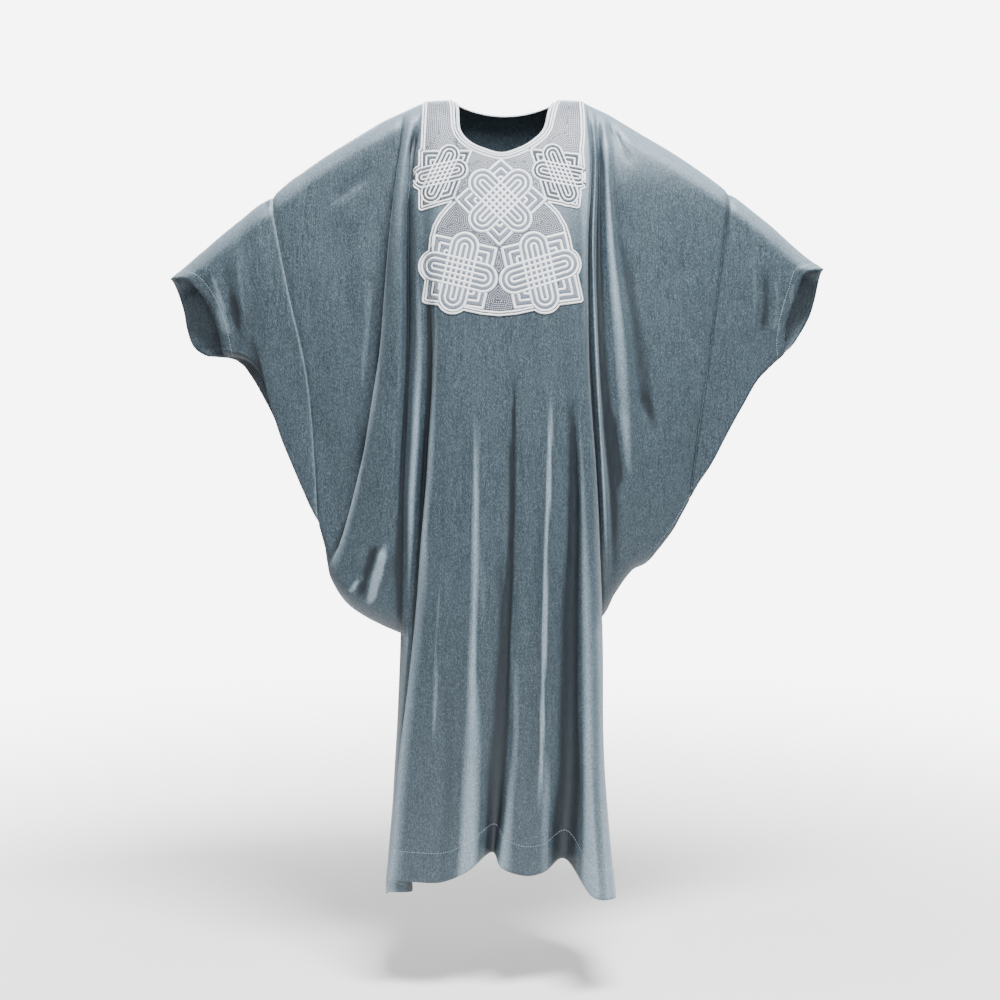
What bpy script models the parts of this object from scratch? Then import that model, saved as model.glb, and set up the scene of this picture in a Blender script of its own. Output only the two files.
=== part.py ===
"""Robe dress: a wide-sleeved pullover robe in velvet, as it hangs when worn with the arms held out.

The frame has its origin on the shoulder line at the middle of the neck. +Z is up, the front faces
-Y, and +X runs to the wearer's left. The cloth is cut flat: a front and a back panel with wing
sleeves, a sleeve extension on each, a turned-up hem, an embroidered bib and a neck binding.
Each panel is a loft through its fold lines. Every fold line has a row in a table below.
"""

import math

import bmesh
import bpy
import numpy as np

# The tables are in millimetres, and everything that is built is in metres.
MM = 0.001
# Two places closer than this are one
LEAST = 1e-4

# Cloth
WALL = 1.6 * MM
HEM_WALL = 3.0 * MM
HEM_DEPTH = 55 * MM
SEAM_GAP = 0.3 * MM

# Embroidered bib and neck binding
BIB_GAP = 0.35 * MM
BIB_WALL = 1.1 * MM
BIB_CENTRE = -4
BIB_REACH = -500 * MM
BINDING_WIDTH = 6 * MM
BINDING_THICK = 3 * MM
BINDING_IN = 1.2 * MM
BINDING_RINGS = 44
BINDING_SIDES = 6

# The upper arm and shoulder that the cloth rolls over
TOP_ROLL = 40 * MM
# The gentle roll at the foot of the wing: at the cuff, at the sleeve seam, past the folds, at the hip
LOW_ROLL_CUFF = 9 * MM
LOW_ROLL_SEAM = 14 * MM
LOW_ROLL_WING = 20 * MM
LOW_ROLL_HIP = 45 * MM

# How far the side seam of the wearer's left wing is rolled to the front at its middle, the share
# of that where it reaches the sleeve, and the depth over which it turns from edge to face
SEAM_ROLL = 27 * MM
SEAM_ROLL_AT_SLEEVE = 0.8
SEAM_TURN = 10 * MM

# Depth of a sleeve in front of its seam plane, from the arm down to the foot: share, depth
ARM_DEPTH = ((0, 40), (0.15, 40), (0.5, 26), (1, 13))

# How finely the loft is cut
SPAN_STEPS = 2
WING_COLUMNS = 4
EXTENSION_COLUMNS = 4
TOP_ARC_ROWS = 3
LOW_ARC_ROWS = 3
MIDDLE_ROWS = 8
SKIRT_ROWS = 5
BACK_COLUMNS = 28
# Between the end of the single cloth and the doubled hem, in millimetres
HEM_STEP = 2

# Heights below the shoulder line at which the fold tables give a place and a depth
HEIGHTS = (0, -100, -250, -450, -700, -960, -1200, -1430)

# Top edge of shoulder and sleeve: x, z. Right and left are as seen from the front.
TOP_LEFT = (
    (-90, 0), (-129, -2), (-142, -4), (-163, -13), (-219, -39), (-232, -47),
    (-326, -104), (-376, -139), (-415, -169), (-455, -198), (-500, -234), (-574, -296),
    (-601, -319),
)
TOP_RIGHT = (
    (101, 0), (144, -2), (151, -6), (190, -24), (244, -56), (314, -97),
    (365, -131), (409, -163), (426, -176), (485, -222), (556, -283), (583, -301),
)

# Foot of the wing from its last fold out past the sleeve seam to the cuff: x, z
LOW_LEFT = (
    (-337, -762), (-354, -727), (-381, -664), (-402, -611), (-423, -541), (-434, -500),
    (-456, -470), (-506, -453),
)
LOW_RIGHT = (
    (306, -788), (330, -746), (344, -720), (357, -695), (380, -660), (411, -600), (434, -556),
    (466, -501), (513, -453),
)

# Sleeve seams and cuff edges from top to bottom: x, z
SEAM_LEFT = ((-415, -169), (-386, -330), (-353, -500), (-342, -640), (-337, -762))
SEAM_RIGHT = ((409, -163), (392, -310), (373, -472), (358, -600), (344, -720))
CUFF_FRONT_LEFT = (
    (-601, -319), (-566, -320), (-547, -337), (-528, -367), (-515, -405), (-506, -453),
)
CUFF_FRONT_RIGHT = (
    (583, -301), (541, -311), (532, -338), (520, -374), (512, -409), (513, -453),
)
CUFF_BACK_LEFT = (
    (-601, -319), (-592, -350), (-583, -380), (-577, -410), (-562, -444), (-540, -457),
    (-506, -453),
)
CUFF_BACK_RIGHT = (
    (583, -301), (576, -345), (563, -386), (545, -418), (532, -437), (513, -453),
)

# Wing folds of the front, from the hip outwards: the x of each at the first five HEIGHTS, its
# depth in front of the seam plane there, and where it ends on the foot of the wing.
WING_LEFT = (
    # name, x at 0, 100, 250, 450, 700, depth at the same, end x, end z, end depth
    ("side", (-140, -161, -165, -167, -179), (34, 54, 68, 72, 68), -187, -966, 60),
    ("lobe", (-149, -168, -177, -180, -202), (34, 60, 84, 86, 74), -238, -943, 58),
    ("ridge", (-158, -174, -190, -199, -243), (36, 60, 84, 84, 66), -286, -910, 48),
    ("edge", (-167, -182, -201, -219, -266), (36, 52, 66, 66, 50), -315, -864, 36),
    ("under", (-176, -181, -187, -200, -244), (34, 40, 40, 38, 24), -321, -838, 24),
    ("out", (-187, -196, -222, -246, -288), (38, 40, 42, 38, 22), -325, -808, 20),
)
WING_RIGHT = (
    ("side", (152, 159, 153, 155, 171), (34, 56, 76, 92, 92), 183, -938, 60),
    ("ridge", (160, 165, 160, 166, 181), (36, 60, 86, 104, 102), 194, -922, 50),
    ("groove", (168, 172, 171, 175, 198), (34, 52, 68, 82, 74), 209, -890, 42),
    ("fold", (178, 183, 192, 215, 232), (36, 62, 80, 84, 62), 240, -850, 34),
    ("hollow", (192, 197, 212, 244, 262), (34, 54, 66, 66, 48), 264, -837, 30),
    ("out", (210, 216, 234, 272, 290), (38, 56, 62, 60, 40), 290, -808, 26),
)

# Folds of the front between the two hips: x at all HEIGHTS, depth there, z at the neck where
# the fold starts there and not on the shoulder, hem z
CENTRE = (
    ("side_left", (-140, -161, -165, -167, -179, -187, -198, -215),
     (34, 54, 68, 72, 68, 0, 0, 0), 0, -1460),
    ("fold_left", (-132, -151, -151, -147, -161, -172, -191, -210),
     (34, 62, 88, 96, 92, 72, 58, 46), 0, -1443),
    ("trough_left", (-124, -139, -137, -126, -140, -160, -176, -164),
     (34, 66, 94, 92, 80, 78, 72, 60), 0, -1436),
    ("edge_left", (-111, -123, -118, -117, -134, -157, -187, -208),
     (34, 72, 108, 116, 113, 106, 100, 92), 0, -1405),
    ("neck_left", (-90, -88, -96, -98, -104, -122, -140, -159),
     (30, 76, 114, 124, 124, 122, 116, 108), 0, -1404),
    ("scoop_left", (-84, -77, -77, -77, -76, -87, -96, -112),
     (30, 80, 118, 127, 128, 126, 120, 112), -60, -1403),
    ("ridge_left", (-64, -60, -56, -52, -46, -50, -55, -66),
     (30, 84, 121, 129, 133, 134, 130, 120), -83, -1381),
    ("trough_centre", (-36, -35, -18, 8, 17, 4, -6, -23),
     (30, 86, 122, 129, 126, 120, 106, 74), -96, -1355),
    ("point", (-2, -1, 10, 33, 40, 29, 20, -6),
     (30, 87, 122, 130, 132, 131, 124, 107), -105, -1378),
    ("flat", (32, 31, 37, 55, 60, 53, 50, 43),
     (30, 86, 122, 130, 131, 130, 123, 112), -96, -1391),
    ("ridge_centre", (60, 55, 60, 77, 83, 76, 79, 74),
     (30, 84, 121, 130, 134, 134, 126, 102), -82, -1386),
    ("trough_right", (80, 77, 85, 105, 124, 121, 121, 108),
     (30, 80, 118, 124, 117, 114, 104, 78), -60, -1366),
    ("neck_right", (101, 97, 112, 129, 144, 152, 157, 166),
     (30, 76, 114, 123, 126, 130, 137, 148), 0, -1422),
    ("edge_right", (146, 152, 146, 146, 163, 175, 180, 200),
     (34, 70, 102, 116, 118, 114, 120, 134), 0, -1427),
    ("side_right", (152, 159, 153, 155, 171, 183, 183, 199),
     (34, 56, 76, 92, 92, 0, 0, 0), 0, -1446),
)

# The back hangs plainer. Its depth behind the seam plane at HEIGHTS, at the middle and by the
# sides, and its folds, with place and half width as shares of the way across.
BACK_MIDDLE = (34, 74, 100, 106, 112, 122, 132, 144)
BACK_SIDE = (34, 50, 62, 66, 62, 58, 56, 54)
BACK_FOLDS = (
    # name, place, half width, depth at hip, depth at hem
    ("left", 0.22, 0.075, 20, 40),
    ("middle_left", 0.43, 0.065, 14, 28),
    ("middle_right", 0.60, 0.07, 18, 36),
    ("right", 0.80, 0.07, 18, 38),
)
BACK_FOLD_HEIGHTS = (150, 960, 1430)
# How squarely the back rounds off to its sides above the hip and below it, and the height over
# which the one runs into the other
ROUND_ABOVE = 2.2
ROUND_BELOW = 3.2
HIP_EASE = 70
BACK_NECK_DROP = 22
BACK_NECK_BEND = 0.7
# The back's hem hangs higher than the side seams. The share of its columns that stay down there
# at the left seam and at the right one, and the share over which it rises
BACK_HEM = -1415
BACK_HEM_FLAT = (0.16, 0.04)
BACK_HEM_RISE = 0.12

# The wings of the back: how its columns fan out, how much flatter they lie away from the body,
# and the shares of the drop where those of the wearer's left meet the front's
FAN_BEND = 1.25
WING_START = 140
WING_REACH = 60
WING_FLATTER = 0.35
MEET_FROM = 0.72
MEET_OVER = 0.2

# Outline of the bib from the shoulder to the middle of its lower edge: x from its centre, z
BIB_OUTLINE = (
    (-137, 14), (-142, -48), (-147, -97), (-150, -130), (-145, -157), (-139, -201),
    (-127, -190), (-114, -175), (-83, -184), (-103, -201), (-116, -221), (-124, -246),
    (-125, -273), (-137, -281), (-140, -298), (-137, -316), (-132, -327), (-137, -363),
    (-110, -366), (-103, -376), (-88, -388), (-70, -384), (-62, -376), (-32, -384), (0, -388),
)

# The cutter of that outline goes through the whole front: its two ends, in depth
CUTTER = (-300, 50)

VELVET = ("velvet", (0.118, 0.185, 0.230), 0.75)
THREAD = ("embroidery_thread", (0.62, 0.66, 0.72), 0.6)


def spline(knots, values, at):
    """Read a smooth curve through values given at rising knots. Values may have several columns."""
    knots = np.asarray(knots, float)
    values = np.asarray(values, float)
    at = np.asarray(at, float)
    chords = np.diff(values, axis=0) / _as_column(np.diff(knots), values)
    slopes = np.empty_like(values)
    slopes[0], slopes[-1] = chords[0], chords[-1]
    before, after = np.diff(knots)[:-1], np.diff(knots)[1:]
    share = _as_column(after / (before + after), values)
    slopes[1:-1] = chords[:-1] * share + chords[1:] * (1 - share)
    span = np.clip(np.searchsorted(knots, at, side="right") - 1, 0, len(knots) - 2)
    width = knots[span + 1] - knots[span]
    u = _as_column((at - knots[span]) / width, values)
    width = _as_column(width, values)
    start, end = values[span], values[span + 1]
    lift = u * u * (3 - 2 * u)
    return (
        start * (1 - lift) + end * lift
        + width * (slopes[span] * (u - 2 * u**2 + u**3) + slopes[span + 1] * (u**3 - u**2))
    )


def _as_column(numbers, like):
    return np.reshape(numbers, np.shape(numbers) + (1,) * (like.ndim - 1))


def smooth(share):
    """A share that starts and ends softly, held between 0 and 1."""
    share = np.clip(share, 0, 1)
    return share * share * (3 - 2 * share)


def along(points, shares):
    """Places at shares of the length of a smooth line through points."""
    points = np.asarray(points, float)
    steps = np.linalg.norm(np.diff(points, axis=0), axis=1)
    knots = np.concatenate(([0], np.cumsum(steps)))
    return spline(knots, points, np.asarray(shares) * knots[-1])


def refine(columns, steps):
    """Put steps spans between each pair of columns, on a smooth curve across them, row by row."""
    columns = np.asarray(columns, float)
    rows = []
    for row in columns.transpose(1, 0, 2):
        gaps = np.sqrt(np.linalg.norm(np.diff(row, axis=0), axis=1)) + LEAST
        knots = np.concatenate(([0], np.cumsum(gaps)))
        places = np.concatenate(
            [knots[i] + gaps[i] * np.arange(steps) / steps for i in range(len(gaps))] + [[knots[-1]]]
        )
        rows.append(spline(knots, row, places))
    return np.array(rows).transpose(1, 0, 2)


def top_z(x, outline):
    """Height of the shoulder and sleeve edge at x."""
    outline = sorted((abs(px), pz) for px, pz in outline)
    return np.interp(abs(x), *np.transpose(outline))


def drop_rows(height, low_roll, seam_roll, lead):
    """Drops from the top edge to each row of a column, and how far round the low roll each lies.

    lead is +1 on the front and -1 on the back. The last row is at the seam, which lies
    seam_roll from the lowest point of the wing, up its front.
    """
    turn = np.linspace(0, math.pi / 2, TOP_ARC_ROWS + 1)
    top_drop = TOP_ROLL / MM * (1 - np.cos(turn))
    quarter = low_roll * math.pi / 2
    if lead > 0:
        walk = seam_roll + quarter * np.linspace(1, 0, LOW_ARC_ROWS + 1)
    else:
        walk = np.linspace(-quarter, seam_roll, 2 * LOW_ARC_ROWS + 1)
    rise = np.where(
        np.abs(walk) < quarter,
        low_roll * (1 - np.cos(walk / low_roll)),
        low_roll + np.abs(walk) - quarter,
    )
    low_side = lead * np.sin(np.clip(walk / low_roll, -math.pi / 2, math.pi / 2))
    middle = np.linspace(top_drop[-1], height - rise[0], MIDDLE_ROWS + 2)[1:-1]
    drops = np.concatenate((top_drop, middle, height - rise))
    side = np.concatenate((np.ones(TOP_ARC_ROWS + 1 + MIDDLE_ROWS), low_side))
    return drops, side


def roll_over(columns, lead):
    """Turn columns of x, depth, z and drop into points, rolled over the shoulder and the arm."""
    columns = np.asarray(columns, float)
    turn = np.clip(columns[..., 3] / (TOP_ROLL / MM), 0, 1)
    over = np.sqrt(np.clip(1 - (1 - turn) ** 2, 0, 1))
    return np.stack((columns[..., 0], -lead * columns[..., 1] * over, columns[..., 2]), axis=-1) * MM


def fold_column(fold, top, side, sheet):
    """Reader of one wing fold: it gives places and depths at any shares of the fold's drop."""
    _name, xs, depths, end_x, end_z, end_depth = fold
    start_z = top_z(xs[0], top)
    heights = np.array([start_z, *HEIGHTS[1:5], end_z])
    shares = (start_z - heights) / (start_z - end_z)
    places = np.column_stack(([*xs, end_x], heights))
    depths = np.array([*depths, end_depth], float)
    # The back has no overlap: its columns fan out evenly, and meet the front's at the foot.
    fan = np.column_stack((xs[0] + (end_x - xs[0]) * shares**FAN_BEND, heights))
    plain = np.interp(heights, HEIGHTS[::-1], BACK_SIDE[::-1])
    plain[-1] = end_depth
    outer = min(1, abs(abs(xs[0]) - WING_START) / WING_REACH)
    plain = plain * (1 - WING_FLATTER * outer * np.clip(shares * 2, 0, 1))

    def read(down):
        place, depth = spline(shares, places, down), spline(shares, depths, down)
        if sheet == "front":
            return place, depth
        near = smooth((down - MEET_FROM) / MEET_OVER) if side == "right" else 0 * down
        own_place, own_depth = spline(shares, fan, down), spline(shares, plain, down)
        return (
            own_place + (place - own_place) * near[:, None],
            own_depth + (depth - own_depth) * near,
        )

    return read


def wing(side, sheet):
    """Grid of points from the hip out to the cuff, with the number of the sleeve seam's column."""
    left = side == "left"
    folds = WING_LEFT if left else WING_RIGHT
    top = TOP_LEFT if left else TOP_RIGHT
    low = LOW_LEFT if left else LOW_RIGHT
    seam = SEAM_LEFT if left else SEAM_RIGHT
    cuff = {
        ("left", "front"): CUFF_FRONT_LEFT, ("right", "front"): CUFF_FRONT_RIGHT,
        ("left", "back"): CUFF_BACK_LEFT, ("right", "back"): CUFF_BACK_RIGHT,
    }[side, sheet]
    lead = 1 if sheet == "front" else -1
    columns = []
    last = len(folds) - 1
    for number, fold in enumerate(folds):
        read = fold_column(fold, top, side, sheet)
        ends, _depths = read(np.array((0.0, 1.0)))
        height = ends[0, 1] - ends[1, 1]
        low_roll = np.interp(number, (0, last), (LOW_ROLL_HIP / MM, LOW_ROLL_WING / MM))
        roll = 0 if left else SEAM_ROLL / MM * np.interp(number, (1, last), (0, 1))
        drops, turned = drop_rows(height, low_roll, roll, lead)
        place, depth = read(drops / height)
        columns.append(np.column_stack((place[:, 0], depth * turned, place[:, 1], drops)))
    inner = refine(columns, SPAN_STEPS)

    out = fold_column(folds[-1], top, side, sheet)
    ends, _depths = out(np.array((0.0, 1.0)))
    seam_x = abs(seam[0][0])
    between = [p for p in top if abs(ends[0, 0]) < abs(p[0]) < seam_x]
    wing_top = [tuple(ends[0]), *between, seam[0]]
    split = low.index(seam[-1])
    wing_low = [tuple(ends[1]), *low[: split + 1]]
    outer = [p for p in top if abs(p[0]) >= seam_x]
    rolled = 0 if left else 1
    plain = patch(
        wing_top, wing_low, out, arm_column(seam),
        np.linspace(0, 1, WING_COLUMNS + 2)[1:], (LOW_ROLL_WING / MM, LOW_ROLL_SEAM / MM),
        (rolled, SEAM_ROLL_AT_SLEEVE * rolled), lead,
    )
    sleeve = patch(
        outer, low[split:], arm_column(seam), arm_column(cuff),
        np.linspace(0, 1, EXTENSION_COLUMNS + 2)[1:], (LOW_ROLL_SEAM / MM, LOW_ROLL_CUFF / MM),
        (SEAM_ROLL_AT_SLEEVE * rolled, 0), lead,
    )
    grid = np.concatenate((inner, plain, sleeve))
    return grid, len(inner) + WING_COLUMNS


def arm_column(points):
    """Reader of a column over the arm: as deep as the arm at its top, and flat at its foot."""
    points = np.asarray(points, float)
    steps = np.linalg.norm(np.diff(points, axis=0), axis=1)
    shares = np.concatenate(([0], np.cumsum(steps))) / steps.sum()
    depths = np.interp(shares, *np.transpose(ARM_DEPTH))
    return lambda down: (spline(shares, points, down), spline(shares, depths, down))


def patch(top, low, start, end, shares_across, rolls, seam_rolls, lead):
    """Columns between two given ones, blended from all four edges of the patch."""
    columns = []
    for share in shares_across:
        upper = along(top, [share])[0]
        lower = along(low, [share])[0]
        height = np.linalg.norm(upper - lower)
        low_roll = rolls[0] + (rolls[1] - rolls[0]) * share
        roll = (seam_rolls[0] + (seam_rolls[1] - seam_rolls[0]) * share) * SEAM_ROLL / MM
        drops, turned = drop_rows(height, low_roll, roll, lead)
        down = drops / height
        (one, one_depth), (two, two_depth) = start(down), end(down)
        line = np.outer(1 - down, upper) + np.outer(down, lower)
        tips = np.array((0.0, 1.0))
        ends = (1 - share) * start(tips)[0] + share * end(tips)[0]
        across = one * (1 - share) + two * share
        place = across + line - np.outer(1 - down, ends[0]) - np.outer(down, ends[1])
        depth = (one_depth * (1 - share) + two_depth * share) * turned
        columns.append(np.column_stack((place[:, 0], depth, place[:, 1], drops)))
    return columns


def skirt_shares(drop):
    """Shares of the drop from hip to hem, with two rows at the fold of the hem's turn-up."""
    turn = 1 - HEM_DEPTH / MM / drop
    evenly = np.linspace(0, turn, SKIRT_ROWS + 1)[1:]
    return np.concatenate((evenly, [turn + HEM_STEP / drop, 1]))


def front_centre(upper_shares, hips):
    """Columns of the front between the side columns, from the neck to the hem."""
    columns = []
    for number, (_name, xs, depths, neck_z, hem_z) in enumerate(CENTRE):
        start_z, line_z = (top_z(xs[0], TOP_LEFT if xs[0] < 0 else TOP_RIGHT),) * 2
        if neck_z:
            start_z, line_z = neck_z, 0
        hip_z = hips[0] + (hips[1] - hips[0]) * number / (len(CENTRE) - 1)
        upper = start_z + (hip_z - start_z) * upper_shares
        z = np.concatenate((upper, row_heights(hip_z, hem_z)))
        columns.append(np.column_stack((at_height(xs, z), at_height(depths, z), z, line_z - z)))
    return np.array(columns)


def back_centre(upper_shares, hips, sides):
    """Columns of the back between the side columns, from the neck to the hem."""
    evenly = np.linspace(0, 1, BACK_COLUMNS + 1)
    neck_left, neck_right = TOP_LEFT[0][0], TOP_RIGHT[0][0]
    columns = []
    for share in (evenly + (1 - np.cos(math.pi * evenly)) / 2) / 2:
        x_top = sides[0][0] * (1 - share) + sides[1][0] * share
        line_z = top_z(x_top, TOP_LEFT if x_top < 0 else TOP_RIGHT)
        start_z = line_z
        if neck_left < x_top < neck_right:
            bow = (x_top - neck_left) / (neck_right - neck_left)
            start_z = -BACK_NECK_DROP * math.sin(math.pi * bow) ** BACK_NECK_BEND
        hip_z = hips[0] + (hips[1] - hips[0]) * share
        upper = start_z + (hip_z - start_z) * upper_shares
        lower = row_heights(hip_z, BACK_HEM)
        z = np.concatenate((upper, lower))
        left = np.concatenate((sides[0], at_height(CENTRE[0][1], lower)))
        right = np.concatenate((sides[1], at_height(CENTRE[-1][1], lower)))
        x = left * (1 - share) + right * share
        # Below the hip the back rounds in to the side seam, and above it runs into the wings.
        below = smooth((hip_z + HIP_EASE - z) / HIP_EASE)
        by_side = at_height(BACK_SIDE, z) * (1 - below)
        off = abs(2 * share - 1)
        above = 1 - off**ROUND_ABOVE
        bulge = above * (1 - below) + (1 - off**ROUND_BELOW) ** (1 / ROUND_ABOVE) * below
        depth = by_side + (at_height(BACK_MIDDLE, z) - by_side) * bulge
        for _name, place, half_width, at_hip, at_hem in BACK_FOLDS:
            reach = math.exp(-(((share - place) / half_width) ** 2))
            depth = depth - reach * np.interp(-z, BACK_FOLD_HEIGHTS, (0, at_hip, at_hem))
        columns.append(np.column_stack((x, depth, z, line_z - z)))
    return np.array(columns)


def at_height(values, z):
    """Read a table row, given at HEIGHTS, at any heights."""
    knots = -np.array(HEIGHTS, float)
    return spline(knots, values, np.clip(-z, 0, knots[-1]))


class Sheet:
    """All points of the front or of the back, with one normal each, joined as one skin."""

    def __init__(self, name):
        self.name = name
        self.lead = 1 if name == "front" else -1
        left, self.seam_left = wing("left", name)
        right, self.seam_right = wing("right", name)
        self.hip_rows = left.shape[1]
        hips = (left[0, -1, 2], right[0, -1, 2])
        drop = left[0, :, 3]
        if name == "front":
            centre = front_centre(drop / drop[-1], hips)
        else:
            centre = back_centre(drop / drop[-1], hips, (left[0, :, 0], right[0, :, 0]))
        # The side columns are the wings' own down to the hip, and then the side seams.
        for number, grid, hip_z, row in ((0, left, hips[0], CENTRE[0]), (-1, right, hips[1], CENTRE[-1])):
            centre[number, : self.hip_rows] = grid[0]
            z = row_heights(hip_z, row[4])
            centre[number, self.hip_rows :] = np.column_stack((at_height(row[1], z), 0 * z, z, -z))
        if name == "front":
            centre = refine(centre, SPAN_STEPS)
        else:
            ease_hem(centre, self.hip_rows)
        self.grids = {
            side: roll_over(columns, self.lead)
            for side, columns in (("left", left), ("centre", centre), ("right", right))
        }
        self.number_points()
        self.points[:, 1] -= self.lead * SEAM_GAP / 2
        self.find_normals()

    def number_points(self):
        """Give every grid point a number. The wings share their first column with the centre."""
        centre = self.grids["centre"]
        self.numbers = {"centre": np.arange(centre.shape[0] * centre.shape[1]).reshape(centre.shape[:2])}
        points = [centre.reshape(-1, 3)]
        count = len(points[0])
        for side, column in (("left", 0), ("right", -1)):
            grid = self.grids[side]
            own = np.arange(grid[1:].shape[0] * grid.shape[1]).reshape(-1, grid.shape[1]) + count
            shared = self.numbers["centre"][column, : self.hip_rows]
            self.numbers[side] = np.concatenate(([shared], own))
            points.append(grid[1:].reshape(-1, 3))
            count += own.size
        self.points = np.concatenate(points)

    def triangles(self, side, first=0, last=None):
        """Triangles of one grid between two of its columns, facing out."""
        numbers = self.numbers[side][first : None if last is None else last + 1]
        a, b = numbers[:-1, :-1], numbers[1:, :-1]
        c, d = numbers[1:, 1:], numbers[:-1, 1:]
        flip = (side == "left") != (self.name == "back")
        halves = []
        for one, two, three in ((a, b, c), (a, c, d)):
            order = (one, two, three) if flip else (one, three, two)
            halves.append(np.stack(order, axis=-1).reshape(-1, 3))
        return np.concatenate(halves)

    def find_normals(self):
        """Normals out of the cloth. On a seam they lie along it, so that the pieces meet squarely."""
        faces = np.concatenate([self.triangles(side) for side in self.grids])
        corners = self.points[faces]
        cross = np.cross(corners[:, 1] - corners[:, 0], corners[:, 2] - corners[:, 0])
        normals = np.zeros_like(self.points)
        for corner in range(3):
            np.add.at(normals, faces[:, corner], cross)
        centre = self.numbers["centre"]
        seams = [centre[0, self.hip_rows - 1 :], centre[-1, self.hip_rows - 1 :]]
        seams += [centre[:, 0][np.abs(self.points[centre[:, 0], 1]) < SEAM_GAP]]
        for side in ("left", "right"):
            numbers = self.numbers[side]
            seams += [numbers[:, 0]]
            if side == "left":
                seams += [numbers[:, -1]]
        for seam in seams:
            normals[seam, 1] = 0
        self.normals = normals / np.linalg.norm(normals, axis=1)[:, None]
        self.square_rolled_seam()

    def square_rolled_seam(self):
        """On the rolled side seam both panels take the same normal, worked out from the roll."""
        numbers = self.numbers["right"]
        ends = self.points[numbers[:, -1]]
        run = np.gradient(ends, axis=0)
        run[:, 1] = 0
        out = np.cross(run, (0, 1, 0))
        out *= -np.sign(out[:, 2:3])
        out /= np.linalg.norm(out, axis=1)[:, None]
        depth = np.abs(ends[:, 1])
        turned = np.clip((depth - SEAM_GAP) / SEAM_TURN, 0, 1)[:, None]
        normal = out * np.sqrt(1 - turned**2) + np.array((0, -1, 0)) * turned
        self.normals[numbers[:, -1]] = normal
        # The panels part along the roll by the seam's gap.
        up = -out * turned
        self.points[numbers[:, -1]] += up * self.lead * SEAM_GAP / 2


def row_heights(hip_z, hem_z):
    return hip_z + (hem_z - hip_z) * skirt_shares(hip_z - hem_z)


def ease_hem(centre, hip_rows):
    """Bring the back's hem smoothly up or down to the side seams' ends."""
    count = len(centre) - 1
    for number, column in enumerate(centre):
        share = number / count
        end = 0 if share < 0.5 else -1
        near = 1 - smooth((min(share, 1 - share) - BACK_HEM_FLAT[end]) / BACK_HEM_RISE)
        column[hip_rows:, 2] += near * (centre[end, hip_rows:, 2] - column[hip_rows:, 2])


def shell(name, outer, normals, walls, faces, material, parts):
    """Closed wall: the outer skin, the same skin moved in by its wall, and rims round the edges."""
    used = np.unique(faces)
    lookup = {number: place for place, number in enumerate(used)}
    outer, normals, walls = outer[used], normals[used], walls[used]
    inner = outer - normals * walls[:, None]
    count = len(used)
    skin = [tuple(lookup[n] for n in face) for face in faces]
    edges = {}
    for a, b, c in skin:
        for edge in ((a, b), (b, c), (c, a)):
            edges[edge] = True
    rims = [edge for edge in edges if (edge[1], edge[0]) not in edges]
    solid = list(skin)
    solid += [(c + count, b + count, a + count) for a, b, c in skin]
    # Both pieces at a seam split its rim the same way, so that the two rims can't cross.
    for a, b in rims:
        if used[a] < used[b]:
            solid += [(b, a, b + count), (a, a + count, b + count)]
        else:
            solid += [(b, a, a + count), (b, a + count, b + count)]
    mesh = bpy.data.meshes.new(name)
    mesh.from_pydata(np.concatenate((outer, inner)).tolist(), [], solid)
    mesh.materials.append(material)
    mesh.shade_smooth()
    mesh.update()
    item = bpy.data.objects.new(name, mesh)
    parts.objects.link(item)
    return item


def plain_material(name, colour, roughness):
    material = bpy.data.materials.new(name)
    material.use_nodes = True
    shader = material.node_tree.nodes["Principled BSDF"]
    shader.inputs["Base Color"].default_value = (*colour, 1)
    shader.inputs["Roughness"].default_value = roughness
    shader.inputs["Metallic"].default_value = 0
    return material


def walls_of(sheet):
    """Wall at every point: the cloth's own, and doubled where hem and cuffs are turned up."""
    walls = np.full(len(sheet.points), WALL)
    walls[sheet.numbers["centre"][:, -2:]] = HEM_WALL
    return walls


def part_seam(sheet, side, column):
    """How far a sleeve seam's points move off the seam, to leave half its gap on one side."""
    numbers = sheet.numbers[side]
    here = sheet.points[numbers[column]]
    run = np.gradient(here, axis=0)
    run /= np.linalg.norm(run, axis=1)[:, None]
    across = sheet.points[numbers[column + 1]] - sheet.points[numbers[column - 1]]
    across -= run * np.einsum("ij,ij->i", across, run)[:, None]
    across /= np.linalg.norm(across, axis=1)[:, None]
    return numbers[column], across * SEAM_GAP / 2


def build_panel(sheet, material, parts):
    """The wide panel and its two sleeve extensions."""
    walls = walls_of(sheet)
    whole = [sheet.triangles("centre")]
    points = sheet.points.copy()
    for side, seam in (("left", sheet.seam_left), ("right", sheet.seam_right)):
        whole.append(sheet.triangles(side, 0, seam))
        numbers, apart = part_seam(sheet, side, seam)
        own = sheet.points.copy()
        own[numbers] += apart
        cuff_walls = walls.copy()
        cuff_walls[sheet.numbers[side][-1]] = HEM_WALL
        faces = sheet.triangles(side, seam)
        shell(f"sleeve_{side}_{sheet.name}", own, sheet.normals, cuff_walls, faces, material, parts)
        points[numbers] -= apart
    shell(
        f"{sheet.name}_panel", points, sheet.normals, walls, np.concatenate(whole), material, parts
    )


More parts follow.
